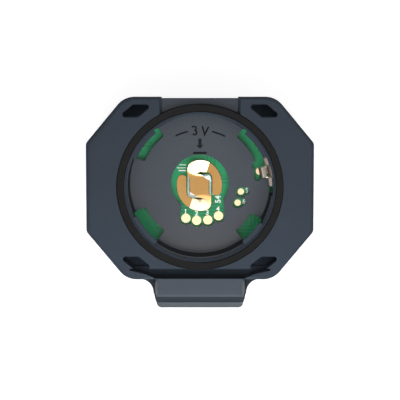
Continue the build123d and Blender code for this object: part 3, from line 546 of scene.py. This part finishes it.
spring_gold = plated_metal(
    "matt hard gold plating", ("ba8c53", "c0965d"), 0.18, (0.09, 0.003, 0.2), LEAF_PLACES,
)
pad_gold = plated_metal("immersion gold", ("ecc79c", "f4d8b0"), 0.25, (0.12, 0.003, 0.3))
nickel = plated_metal("brushed nickel plating", ("a89e94", "bbb1a7"), 0.36, (0.15, 0.004, 0.5))
solder_tin = plated_metal("reflowed solder", ("a9abb0", "c4c6ca"), 0.3, (0.5, 0.02, 0.6))
can_steel = plated_metal("pressed can steel", ("b9b7b0", "cbc9c2"), 0.3, (0.2, 0.003, 0.4))
METAL_NODES = {
    "programming_pads": pad_gold, "test_pads": pad_gold, "positive_contact_land": pad_gold,
    "negative_contact_lands": solder_tin, "positive_contact_base": nickel,
    "positive_contact_leaf": nickel, "main_crystal": can_steel, "watch_crystal": can_steel,
}
for metal_node, metal in METAL_NODES.items():
    dress(metal_node, metal)
print("metal nodes:", len(METAL_NODES))

# %% [markdown]
# ## Parts on the front of the board
# The chips and small parts sit on the other side of the board. Chips are black moulded epoxy with a
# grain, ceramic bodies are fired and dull, ferrite is pressed powder, and the tantalum part is yellow
# epoxy. The lamp and the light window are clear plastics, one cast and one moulded.

# %% Materials of the electronic parts
LIGHTER = 1.35
BODY_SKIN = (0.005, 0.5)
# Each body: its material, colour, roughness and the size of its grain in mm
BODIES_OF_PARTS = {
    "radio_chip": ("black transfer moulded epoxy", "141416", 0.55, 0.06),
    "motion_sensor": ("black transfer moulded epoxy lid", "17171a", 0.5, 0.06),
    "chip_antenna": ("white fired ceramic", "d9d6cc", 0.45, 0.08),
    "power_inductor": ("pressed grey ferrite", "3b3b3d", 0.6, 0.12),
    "reservoir_capacitor": ("yellow moulded epoxy", "c79a35", 0.45, 0.08),
    "ceramic_capacitors": ("tan fired ceramic", "95785a", 0.5, 0.06),
    "resistors": ("black glazed film", "15151a", 0.35, 0.1),
}
# Each clear piece: its material, tint, IOR, roughness, share of light that passes, and skin
CLEAR_PIECES = {
    "status_lamp": ("cast clear epoxy", "f0ecd2", 1.52, 0.12, 0.55, (0.3, 0.004, 0.3)),
    "light_window": ("frosted clear polycarbonate", "e6eaee", 1.58, 0.28, 0.85, (0.12, 0.006, 0.5)),
}


def opaque_body(name, code, roughness, size_mm):
    """Opaque moulded or fired body: one colour broken up by a speckle, with a fine skin."""
    made, tree, shader = new_material(name, IOR=1.55, Roughness=roughness)
    grain = mould_grain(tree, shader, size_mm, *BODY_SKIN)[1]
    base = tint(code)
    lighter = (*(min(1.0, channel * LIGHTER) for channel in base[:3]), 1.0)
    colours = {FACTOR: grain, FIRST: base, SECOND: lighter}
    tree.links.new(add(tree, "Mix", colours, out=BLEND, data_type="RGBA"), shader.inputs["Base Color"])
    return made


for part_node, settings in BODIES_OF_PARTS.items():
    dress(part_node, opaque_body(*settings))
for clear_node, (title, code, ior, roughness, passing, skin) in CLEAR_PIECES.items():
    resin, tree, shader = new_material(
        title, IOR=ior, Roughness=roughness, Base_Color=tint(code), Transmission_Weight=passing,
    )
    mould_grain(tree, shader, *skin)
    dress(clear_node, resin)
print("parts dressed:", len(BODIES_OF_PARTS) + len(CLEAR_PIECES))

# %% [markdown]
# ## A sheet-metal ribbon
# Both contacts are stamped from thin strip. A strip is easy to describe by its two edges: for each
# step along the strip, one point on either edge, and straight lines between them. That is a ruled
# surface, and a stamped and bent strip is just that. A Solidify modifier could make it thick, but
# these springs bend when the cell is pressed in, and then the whole mesh has to be there from the
# start. So the second face is worked out here too: each point moved back along its own normal.

# %% Ribbon surfaces
SHARP_ANGLE = 50


def ruled(edge_a, edge_b, shares):
    """Ruled surface: point(i, t) = (1 - t) * edge_a[i] + t * edge_b[i]."""
    t = shares[None, :, None]
    return (1 - t) * edge_a[:, None, :] + t * edge_b[:, None, :]


def sheet_points(front, thickness_mm):
    """Front and back points: the back is the front less the thickness times the unit normal.

    The normal is the cross product of the step along the rows and the step along the columns.
    """
    normal = np.cross(np.gradient(front, axis=0), np.gradient(front, axis=1))
    normal /= np.linalg.norm(normal, axis=-1, keepdims=True)
    back = front - thickness_mm * normal
    return np.concatenate([front.reshape(-1, 3), back.reshape(-1, 3)])


def sheet_faces(rows, columns):
    """Four-sided faces: the front grid, the back grid turned over, and a wall along their rim."""
    index = np.arange(rows * columns).reshape(rows, columns)
    corners = [index[:-1, :-1], index[1:, :-1], index[1:, 1:], index[:-1, 1:]]
    grid = np.stack(corners, axis=-1).reshape(-1, 4)
    rim = np.concatenate([index[:-1, 0], index[-1, :-1], index[:0:-1, -1], index[0, :0:-1]])
    following = np.roll(rim, -1)
    wall = np.stack([following, rim, rim + rows * columns, following + rows * columns], axis=-1)
    return np.concatenate([grid, grid[:, ::-1] + rows * columns, wall])


def sheet_mesh(name, front, thickness_mm):
    """Closed sheet of a front grid of points in mm and a thickness, filled from whole arrays."""
    points = sheet_points(front, thickness_mm)
    faces = sheet_faces(*front.shape[:2])
    made = bpy.data.meshes.new(name)
    made.vertices.add(len(points))
    made.vertices.foreach_set("co", (points * MM).astype(np.float32).ravel())
    made.loops.add(faces.size)
    made.loops.foreach_set("vertex_index", faces.ravel())
    made.polygons.add(len(faces))
    made.polygons.foreach_set("loop_start", np.arange(0, faces.size, 4))
    made.polygons.foreach_set("use_smooth", np.ones(len(faces), bool))
    made.update(calc_edges=True)
    made.validate()
    made.set_sharp_from_angle(angle=math.radians(SHARP_ANGLE))
    return made


print("a sheet of 3 by 4 points has", len(sheet_faces(3, 4)), "faces")

# %% [markdown]
# Edges are drawn with three small tools: a straight run, a bow that rounds a corner, and a smooth step
# that lets one thing fade into another.

# %% Runs, bows and fades
def line(start, end, count):
    """Evenly spaced points from start to end, with the end left for the next piece of the edge."""
    steps = np.linspace(0, 1, count, endpoint=False)[:, None]
    return (1 - steps) * np.array(start, float) + steps * np.array(end, float)


def bow(start, corner, end, count):
    """Quadratic curve that leaves start towards corner and arrives at end from there."""
    steps = np.linspace(0, 1, count, endpoint=False)[:, None]
    first, middle_point, last = (np.array(point, float) for point in (start, corner, end))
    return (1 - steps) ** 2 * first + 2 * steps * (1 - steps) * middle_point + steps ** 2 * last


def smooth(value):
    """Smooth step from 0 to 1: the value squared times three less twice the value."""
    held = np.clip(value, 0, 1)
    return held * held * (3 - 2 * held)


def lengths_of(steps):
    """Length of each step vector."""
    return np.linalg.norm(steps, axis=-1)


def run_along(edge):
    """Distance run along an edge at each of its points."""
    return np.concatenate([[0], np.cumsum(lengths_of(np.diff(edge, axis=0)))])


print("a bow round a unit corner runs", round(float(run_along(bow((0, 0), (1, 0), (1, 1), 50))[-1]), 2))

# %% [markdown]
# ## Negative contact: one oval leaf slit into an S
# The spring under the cell is an oval of plated bronze with two slits. Each slit frees an arm, so the
# two outer crescents stay on the board, the arms climb, and the middle becomes a raised table. Half
# of it is described by its inner edge, along the slit, and its outer edge, along the oval, and the
# other half is the same turned by half a turn, so the S comes out as one unbroken sheet.

# %% Sizes of the S-shaped leaf
feet_low, feet_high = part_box("negative_contact_feet")
table_low, table_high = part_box("negative_contact_table")
leaf_centre = np.array([(feet_low.x + feet_high.x) / 2, (feet_low.y + feet_high.y) / 2]) / MM
LEAF_HALF_WIDTH = (feet_high.x - feet_low.x) / MM / 2
LEAF_HALF_LENGTH = (table_high.y - table_low.y) / MM / 2
STRIP_HALF = (table_high.x - table_low.x) / MM / 2
FOOT_TOP = feet_high.z / MM
TABLE_TOP = table_high.z / MM
SHEET_THICKNESS = (feet_high.z - feet_low.z) / MM
# Points and lengths in mm from the leaf's centre, for the foot at the right and the arm above it
FOOT_INNER = STRIP_HALF + 0.18
FOOT_END = -1.5
FOOT_ROUND = 0.5
BEND_START = 0.8
FOOT_CORNER = (1.88, 1.9)
FOLD_INNER = (1.0, 1.93)
SLIT_END = (0.14, 1.9)
SLIT_RADIUS = 0.17
SHOULDER_CORNER = (-STRIP_HALF, 3.55)
SHOULDER_END = (-STRIP_HALF, 2.3)
LIP_START, LIP_CORNER = (1.1, 1.74), (1.72, 1.7)
LIP_OUTER, CORNER_OUTER, CORNER_INNER = 1.2, 0.7, 0.9
# Angles on the oval, in degrees
FOLD_ANGLE, ARM_TOP_ANGLE, SHOULDER_ANGLE = 63.0, 92.0, 100.0
# Rows of points along each stretch
TIP_ROWS, SIDE_ROWS = 9, 16
BEND_ROWS, CLIMB_ROWS, ARM_TOP_ROWS, SHOULDER_ROWS = 16, 18, 8, 18
LIP_ROWS, CORNER_ROWS, TABLE_ROWS = 20, 12, 8
print("leaf of", round(2 * LEAF_HALF_WIDTH, 2), "by", round(2 * LEAF_HALF_LENGTH, 2), "mm")

# %% [markdown]
# Both edges have the same number of points, so that each pair makes one line across the strip. They are
# put together stretch by stretch: the foot, its bend, the climbing arm, the turn round the end of the
# slit, the lip of the table, its corner, and the table up to the middle of the leaf.

# %% Edges of the S-shaped leaf
def oval(degrees):
    """Point on the oval: half width times cosine, half length times sine."""
    turn = np.radians(degrees)
    return np.stack([LEAF_HALF_WIDTH * np.cos(turn), LEAF_HALF_LENGTH * np.sin(turn)], axis=-1)


def oval_x(height):
    """Reach of the oval at a height: half width times root of one less (height / half length) squared."""
    return LEAF_HALF_WIDTH * np.sqrt(1 - (height / LEAF_HALF_LENGTH) ** 2)


def oval_arc(start, end, count):
    """Points on the oval between two angles, without the last one."""
    return oval(np.linspace(start, end, count, endpoint=False))


def foot_edges():
    """Inner and outer edge of a foot: its rounded end, then the crescent up to where it bends."""
    turn = np.linspace(0, np.pi / 2, TIP_ROWS, endpoint=False)
    tip_y = FOOT_END + FOOT_ROUND * (1 - np.cos(turn))
    tip_inset = FOOT_ROUND * (1 - np.sin(turn))
    side_y = np.linspace(FOOT_END + FOOT_ROUND, BEND_START, SIDE_ROWS, endpoint=False)
    height = np.concatenate([tip_y, side_y])
    inset = np.concatenate([tip_inset, np.zeros(SIDE_ROWS)])
    inner = np.stack([FOOT_INNER + inset, height], axis=-1)
    outer = np.stack([oval_x(height) - inset, height], axis=-1)
    return inner, outer


def slit_turn():
    """Round end of the slit: half a circle about its end, from above it to below it."""
    degrees = np.linspace(90, 270, ARM_TOP_ROWS + SHOULDER_ROWS, endpoint=False)
    turn = np.radians(degrees)[:, None]
    return np.array(SLIT_END) + SLIT_RADIUS * np.concatenate([np.cos(turn), np.sin(turn)], axis=1)


side = STRIP_HALF
bend_angle = math.degrees(math.asin(BEND_START / LEAF_HALF_LENGTH))
slit_top = (SLIT_END[0], SLIT_END[1] + SLIT_RADIUS)
slit_low = (SLIT_END[0], SLIT_END[1] - SLIT_RADIUS)
arm_top = oval_arc(ARM_TOP_ANGLE, SHOULDER_ANGLE, ARM_TOP_ROWS)
shoulder = bow(oval(SHOULDER_ANGLE), SHOULDER_CORNER, SHOULDER_END, SHOULDER_ROWS)
# The stretches after the foot, each with its inner and its outer edge
STRETCHES = (
    (bow((FOOT_INNER, BEND_START), FOOT_CORNER, FOLD_INNER, BEND_ROWS),
     oval_arc(bend_angle, FOLD_ANGLE, BEND_ROWS)),
    (line(FOLD_INNER, slit_top, CLIMB_ROWS), oval_arc(FOLD_ANGLE, ARM_TOP_ANGLE, CLIMB_ROWS)),
    (slit_turn(), np.concatenate([arm_top, shoulder])),
    (line(slit_low, LIP_START, LIP_ROWS), line(SHOULDER_END, (-side, LIP_OUTER), LIP_ROWS)),
    (bow(LIP_START, LIP_CORNER, (side, CORNER_INNER), CORNER_ROWS),
     line((-side, LIP_OUTER), (-side, CORNER_OUTER), CORNER_ROWS)),
    (line((side, CORNER_INNER), (side, 0), TABLE_ROWS),
     line((-side, CORNER_OUTER), (-side, 0), TABLE_ROWS)),
)
foot_inner, foot_outer = foot_edges()
inner_edge = np.concatenate([foot_inner] + [inner for inner, outer in STRETCHES])
outer_edge = np.concatenate([foot_outer] + [outer for inner, outer in STRETCHES])
# Rows at which the fold, the slit's round end and the lip of the table begin
FOLD_ROW = TIP_ROWS + SIDE_ROWS + BEND_ROWS
SLIT_ROW = FOLD_ROW + CLIMB_ROWS
LIP_ROW = SLIT_ROW + ARM_TOP_ROWS + SHOULDER_ROWS
HALF_ROWS = len(inner_edge)
print("rows:", HALF_ROWS, "fold", FOLD_ROW, "slit", SLIT_ROW, "lip", LIP_ROW)

# %% [markdown]
# Now the heights. The feet lie flat, the table is flat, and the arms between them are one smooth
# slope. A soap film stretched from the fold of the foot to the edge of the table has just that form:
# every point of it lies at the mean height of its neighbours. So each point is moved to that mean many
# times over, with nearer neighbours counting for more, until the film is at rest.

# %% Soap film
def film_weights(plan):
    """Pull between neighbours along and across: the width of the path over its length."""
    along, across = lengths_of(np.diff(plan, axis=0)), lengths_of(np.diff(plan, axis=1))
    path_across = np.pad((across[:, :-1] + across[:, 1:]) / 2, ((0, 0), (1, 1)), mode="edge")
    path_along = np.pad((along[:-1] + along[1:]) / 2, ((1, 1), (0, 0)), mode="edge")
    pull_along = (path_across[:-1] + path_across[1:]) / 2 / along
    pull_across = (path_along[:, :-1] + path_along[:, 1:]) / 2 / across
    return pull_along, pull_across


def film_step(level, pull_along, pull_across):
    """Weighted mean of the four neighbours of every point."""
    total, weight = np.zeros_like(level), np.zeros_like(level)
    total[:-1] += pull_along * level[1:]
    total[1:] += pull_along * level[:-1]
    total[:, :-1] += pull_across * level[:, 1:]
    total[:, 1:] += pull_across * level[:, :-1]
    weight[:-1] += pull_along
    weight[1:] += pull_along
    weight[:, :-1] += pull_across
    weight[:, 1:] += pull_across
    return total / weight


square = np.stack(np.meshgrid(np.arange(3.0), np.arange(3.0)), axis=-1)
print("pull between the points of an even grid:", float(film_weights(square)[0][0, 0]))

# %% [markdown]
# The film is held at 0 on the foot and at 1 on the table, and starts half-way up everywhere else. Only
# half of the leaf is worked out: the other half is the same one turned round.

# %% Heights of the leaf
LEAF_COLUMNS = 45
TABLE_END = 1.05
FILM_STEPS = 2500
SOFT_BEND = 0.35

rows = np.arange(HALF_ROWS)
half_plan = ruled(inner_edge, outer_edge, np.linspace(0, 1, LEAF_COLUMNS))
on_foot = np.broadcast_to(rows[:, None] <= FOLD_ROW, half_plan.shape[:2])
on_flat = (rows[:, None] >= LIP_ROW) & (half_plan[..., 1] <= TABLE_END)
free = ~(on_foot | on_flat)
film = np.where(on_foot, 0.0, np.where(on_flat, 1.0, 0.5))
pulls = film_weights(half_plan)
for film_count in range(FILM_STEPS):
    moved = np.where(free, film_step(film, *pulls), film)
    film, last_change = moved, float(np.abs(moved - film).max())

# The bend at the table's edge is soft: close to it the fall starts as a parabola
fall = 1 - film
parabola, straight = fall ** 2 / (2 * SOFT_BEND), fall - SOFT_BEND / 2
half_fall = np.where(fall < SOFT_BEND, parabola, straight) / (1 - SOFT_BEND / 2)
fallen = np.concatenate([half_fall, half_fall[::-1, ::-1]])
plan = np.concatenate([half_plan, -half_plan[::-1, ::-1]])
print("last change of the film:", round(last_change, 6))

# %% [markdown]
# The table's edge drops a little. Its rim is painted pale green-grey and not metal, a painted
# reflection of the board, with a thin dark line of painted shade just inside it. Two corners are
# dipped, and these small facets are painted near white and not metal, a painted glint. The arms are
# painted paler, a painted highlight for the light their slopes mirror. Mesh attributes keep all these
# places for the material.

# %% Rims and dipped corners of the table
RIM_WIDTH, RIM_DROP, RIM_END, RIM_SOFT = 0.27, 0.05, 1.5, 0.05
CREASE_WIDTH = 0.08
FACET_WAY = np.array((0.558, 0.829))
FACET_START, FACET_SLOPE, FACET_ROUND, FACET_SOFT = 1.537, 0.36, 0.03, 0.1
LIP_FADE = 0.5
ARM_FADE = 0.3


def nearest(points, marks):
    """For each plan point, the distance to the nearest mark and that mark's number."""
    gaps = lengths_of(points[..., None, :] - marks)
    return gaps.min(axis=-1), gaps.argmin(axis=-1)


inner_strength = smooth(run_along(inner_edge[LIP_ROW:]) / LIP_FADE)
outer_strength = smooth((RIM_END - outer_edge[LIP_ROW:, 1]) / LIP_FADE)
half_marks = np.concatenate([inner_edge[LIP_ROW:], outer_edge[LIP_ROW:]])
strengths = np.tile(np.concatenate([inner_strength, outer_strength]), 2)
gap, mark = nearest(plan, np.concatenate([half_marks, -half_marks]))
on_table = np.zeros((len(plan), 1), bool)
on_table[LIP_ROW:len(plan) - LIP_ROW] = True
strength = strengths[mark] * on_table
way = np.where(np.arange(len(plan)) < HALF_ROWS, 1, -1)[:, None]
past = way * (plan @ FACET_WAY) - FACET_START
dip = FACET_SLOPE * (past + np.sqrt(past ** 2 + FACET_ROUND ** 2)) / 2 * on_table
drop = RIM_DROP * np.clip(1 - gap / RIM_WIDTH, 0, 1) * strength + dip
height = TABLE_TOP - fallen * (TABLE_TOP - FOOT_TOP) - drop
leaf_points = np.concatenate([plan + leaf_centre, height[..., None]], axis=-1)[:, ::-1]
print("deepest drop:", round(float(drop.max()), 2), "mm")

# %% [markdown]
# Each place is a number from 0 to 1 at every point, with soft edges, so the material can fade one
# colour into the next. The places with the painted glint and the painted rim reflection also stop
# being metal in the shader.

# %% Places for the material
# Painted glint: the dipped corner facets are painted near white
painted_corner_glint = smooth(past / FACET_SOFT + 0.5) * on_table
# Painted reflection: the rim is painted the pale green-grey of the board it mirrors
painted_rim_reflection = smooth((RIM_WIDTH - gap) / RIM_SOFT + 0.5) * strength
from_crease = np.abs(gap - RIM_WIDTH - CREASE_WIDTH / 2)
rows_from_middle = np.abs(np.arange(len(plan)) - HALF_ROWS + 0.5)
past_fold = (rows_from_middle < HALF_ROWS - FOLD_ROW - 1)[:, None]
leaf_places = {
    # Painted highlight: the arms' paler colour stands in for the light their slopes mirror
    "painted_arm_highlight": smooth(fallen / ARM_FADE) * past_fold,
    "painted_corner_glint": painted_corner_glint,
    "painted_rim_reflection": painted_rim_reflection,
    # Painted shade: a thin dark line just inside the rim
    "painted_crease_shade": smooth(1 - from_crease / CREASE_WIDTH) * strength,
    "metal_share": 1 - np.maximum(painted_corner_glint, painted_rim_reflection),
}
print("share of the leaf that keeps its gold:", round(float(leaf_places["metal_share"].mean()), 2))

# %% [markdown]
# The sheet is finished as one closed mesh with its places on its points and its material, and it takes
# the place of the three imported pieces of the leaf, which are hidden.


def add_piece(name, mesh, material):
    """Object of a finished mesh, with its material."""
    piece = bpy.data.objects.new(name, mesh)
    mesh.materials.append(material)
    bpy.context.scene.collection.objects.link(piece)
    return piece


leaf_mesh = sheet_mesh("negative_contact_sheet", leaf_points, SHEET_THICKNESS)
for place_name, amount in leaf_places.items():
    values = leaf_mesh.attributes.new(place_name, "FLOAT", "POINT")
    values.data.foreach_set("value", np.tile(amount[:, ::-1].ravel(), 2).astype(np.float32))
leaf_sheet = add_piece("negative_contact_sheet", leaf_mesh, spring_gold)
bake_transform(leaf_sheet)
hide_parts("negative_contact_feet", "negative_contact_arms", "negative_contact_table")
print("leaf faces:", len(leaf_mesh.polygons))

# %% [markdown]
# ## Positive contact: a leaning side spring
# The cell's rim is its plus pole, and a side spring presses on it. The strip stands in a pocket of the
# wall and leans back, so that the cell slides in past it. In the middle a tongue is bent towards the
# cell. Strip and tongue are both a profile of radius and height, swept round the bay's axis. The
# tongue's ends run back into the strip, so its profile blends into the strip's by a smooth step.

# %% Profiles of the side spring
NOSE_ANGLE = 11.0
# Radius and height in mm, from the lower edge to the upper one
STRIP_PROFILE = np.array([(10.04, 3.95), (9.98, 5.1), (10.05, 5.2), (10.58, 5.66)])
TONGUE_PROFILE = np.array([(8.88, 4.0), (9.22, 5.12), (9.42, 5.24), (9.82, 5.58)])
PROFILE_POINTS = 23


def fine_profile(corners, count):
    """Points along a bent profile: even steps of its length, with the corners a little rounded."""
    steps = run_along(corners)
    at = np.linspace(0, steps[-1], count)
    even = np.stack([np.interp(at, steps, corners[:, k]) for k in (0, 1)], axis=-1)
    even[1:-1] = (even[:-2] + even[1:-1] + even[2:]) / 3
    return even


def swept(profiles, degrees):
    """Points of profiles of radius and height, each at its own angle from the contact's direction."""
    turn = np.radians(NOSE_ANGLE + degrees)[:, None]
    radius, height = profiles[..., 0], profiles[..., 1]
    return np.stack([radius * np.cos(turn), radius * np.sin(turn), height], axis=-1)


def bulge(degrees, half_angle, ramp):
    """One in the middle and nothing past the half angle, with a smooth ramp between."""
    return smooth((half_angle - np.abs(degrees)) / ramp)[:, None, None]


strip_profile = fine_profile(STRIP_PROFILE, PROFILE_POINTS)
tongue_profile = fine_profile(TONGUE_PROFILE, PROFILE_POINTS)
print("profiles of", PROFILE_POINTS, "points")

# %% [markdown]
# The strip stays behind the tongue, narrows at one end and turns down at the other. Strip and tongue
# are thin closed sheets like the leaf.

# %% The side spring
# Angles in degrees from the contact's direction, the rest in mm
STRIP_ANGLES = (-12.0, 12.4)
TONGUE_HALF_ANGLE, TONGUE_RAMP_ANGLE = 5.6, 0.9
# Behind the tongue the strip is set back and down, its lower arm narrows, and its top end turns down
SET_BACK = np.array((0.16, -0.26))
ARM_NARROWING, NARROWING_ANGLE = 0.45, 6.0
END_TURN_ANGLE, END_DROP = 1.3, 0.22
SPRING_SHEET = 0.12
STRIP_STEPS, TONGUE_STEPS = 90, 60

strip_turn = np.linspace(*STRIP_ANGLES, STRIP_STEPS)
strip_rows = strip_profile + SET_BACK * bulge(strip_turn, TONGUE_HALF_ANGLE, TONGUE_RAMP_ANGLE)
narrowing = ARM_NARROWING * smooth((-TONGUE_HALF_ANGLE - strip_turn) / NARROWING_ANGLE)[:, None, None]
share_up = np.linspace(0, 1, PROFILE_POINTS)[None, :, None]
strip_rows = strip_rows + narrowing * (strip_rows[:, -1:] - strip_rows) * share_up
end_turn = smooth((strip_turn - STRIP_ANGLES[1] + END_TURN_ANGLE) / END_TURN_ANGLE)
strip_rows[..., 1] -= END_DROP * end_turn[:, None]

tongue_turn = np.linspace(-TONGUE_HALF_ANGLE, TONGUE_HALF_ANGLE, TONGUE_STEPS)
bent = bulge(tongue_turn, TONGUE_HALF_ANGLE, TONGUE_RAMP_ANGLE)
tongue_rows = (1 - bent) * (strip_profile + SET_BACK) + bent * tongue_profile
for spring_name, profiles, turns in (
    ("positive_contact_strip", strip_rows, strip_turn),
    ("positive_contact_tongue", tongue_rows, tongue_turn),
):
    spring_mesh = sheet_mesh(spring_name, swept(profiles, turns)[:, ::-1], SPRING_SHEET)
    spring = add_piece(spring_name, spring_mesh, nickel)
    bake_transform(spring)
    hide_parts("positive_contact_leaf")
print("spring of", len(strip_rows), "and", len(tongue_rows), "rows")

# %% [markdown]
# ## White print on the board
# Pin numbers and short lines are printed on the board in white ink. Plain digits stand beside the
# pads, and short bars mark where parts lie. Digits are text turned into a mesh, a hair above the
# board, because ink is a raised film that light catches.

# %% Ink
board_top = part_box("circuit_board")[1].z
INK_LIFT = 0.012 * MM
STROKE = 0.025 * MM
INK_SKIN = (0.15, 0.004, 0.5)
ink, ink_tree, ink_shader = new_material("screen printed white ink", IOR=1.5, Roughness=0.5)
ink_grain = mould_grain(ink_tree, ink_shader, *INK_SKIN)[1]
ink_colours = {FACTOR: ink_grain, FIRST: tint("e2ece8"), SECOND: tint("fafdfb")}
ink_white = add(ink_tree, "Mix", ink_colours, out=BLEND, data_type="RGBA")
ink_tree.links.new(ink_white, ink_shader.inputs["Base Color"])
print("ink", round((board_top + INK_LIFT) / MM, 3), "mm above the front face")

# %% [markdown]
# Everything printed is listed in two tables, one for digits and one for bars, and two functions turn a
# row of a table into flat faces at the ink's height.

# %% Board print
# Each print: its digits, their height in mm, where they stand in mm, and their turn in degrees
DIGITS = {
    "print_pad_1": ("1", 0.95, -2.12, -4.35, 0), "print_pad_2": ("2", 0.95, -0.5, -4.62, 0),
    "print_pad_3": ("3", 0.95, 1.1, -4.5, 0), "print_pad_4": ("4", 0.95, 2.68, -3.95, 0),
    "print_test_5": ("5", 0.95, 6.95, -1.2, 0), "print_test_6": ("6", 0.95, 6.5, -2.85, 0),
    "print_part_54": ("54", 1.15, 2.7, -2.5, 90),
}
# Each bar: centre x, centre y, length and width in mm
BARS = (
    (-2.55, 2.65, 1.0, 0.1), (-2.75, 2.2, 1.3, 0.1), (-2.6, 1.8, 1.1, 0.16),
    (2.45, -1.45, 1.4, 0.08), (2.0, -1.75, 0.5, 0.08),
)


def printed_text(name, body, size_mm, x_mm, y_mm, degrees):
    """Flat text as a mesh: turned, then moved to its place just above the board."""
    letters = bpy.data.curves.new(name, "FONT")
    letters.body = body
    letters.size = size_mm * MM
    letters.offset = STROKE
    letters.align_x = "CENTER"
    letters.align_y = "CENTER"
    carrier = bpy.data.objects.new(name, letters)
    bpy.context.scene.collection.objects.link(carrier)
    bpy.context.view_layer.update()
    mesh = bpy.data.meshes.new_from_object(carrier)
    bpy.data.objects.remove(carrier)
    lift = Matrix.Translation((x_mm * MM, y_mm * MM, board_top + INK_LIFT))
    mesh.transform(lift @ Matrix.Rotation(math.radians(degrees), 4, "Z"))
    piece = add_piece(name, mesh, ink)
    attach(piece, "sensor_body")


def bar_points(centre_x, centre_y, length, width):
    """Four corners of a flat bar."""
    x, y = length / 2, width / 2
    corners = np.array([(-x, -y), (x, -y), (x, y), (-x, y)]) + (centre_x, centre_y)
    return np.concatenate([corners, np.full((4, 1), (board_top + INK_LIFT) / MM)], axis=1)


for digit_name, settings in DIGITS.items():
    printed_text(digit_name, *settings)
bar_corners = np.concatenate([bar_points(*bar) for bar in BARS]) * MM
bar_mesh = bpy.data.meshes.new("print_bars")
bar_faces = np.arange(len(bar_corners)).reshape(-1, 4)
bar_mesh.from_pydata(bar_corners.tolist(), [], bar_faces.tolist())
print_bars = add_piece("print_bars", bar_mesh, ink)
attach(print_bars, "sensor_body")
print("digits and bars:", len(DIGITS), len(BARS))
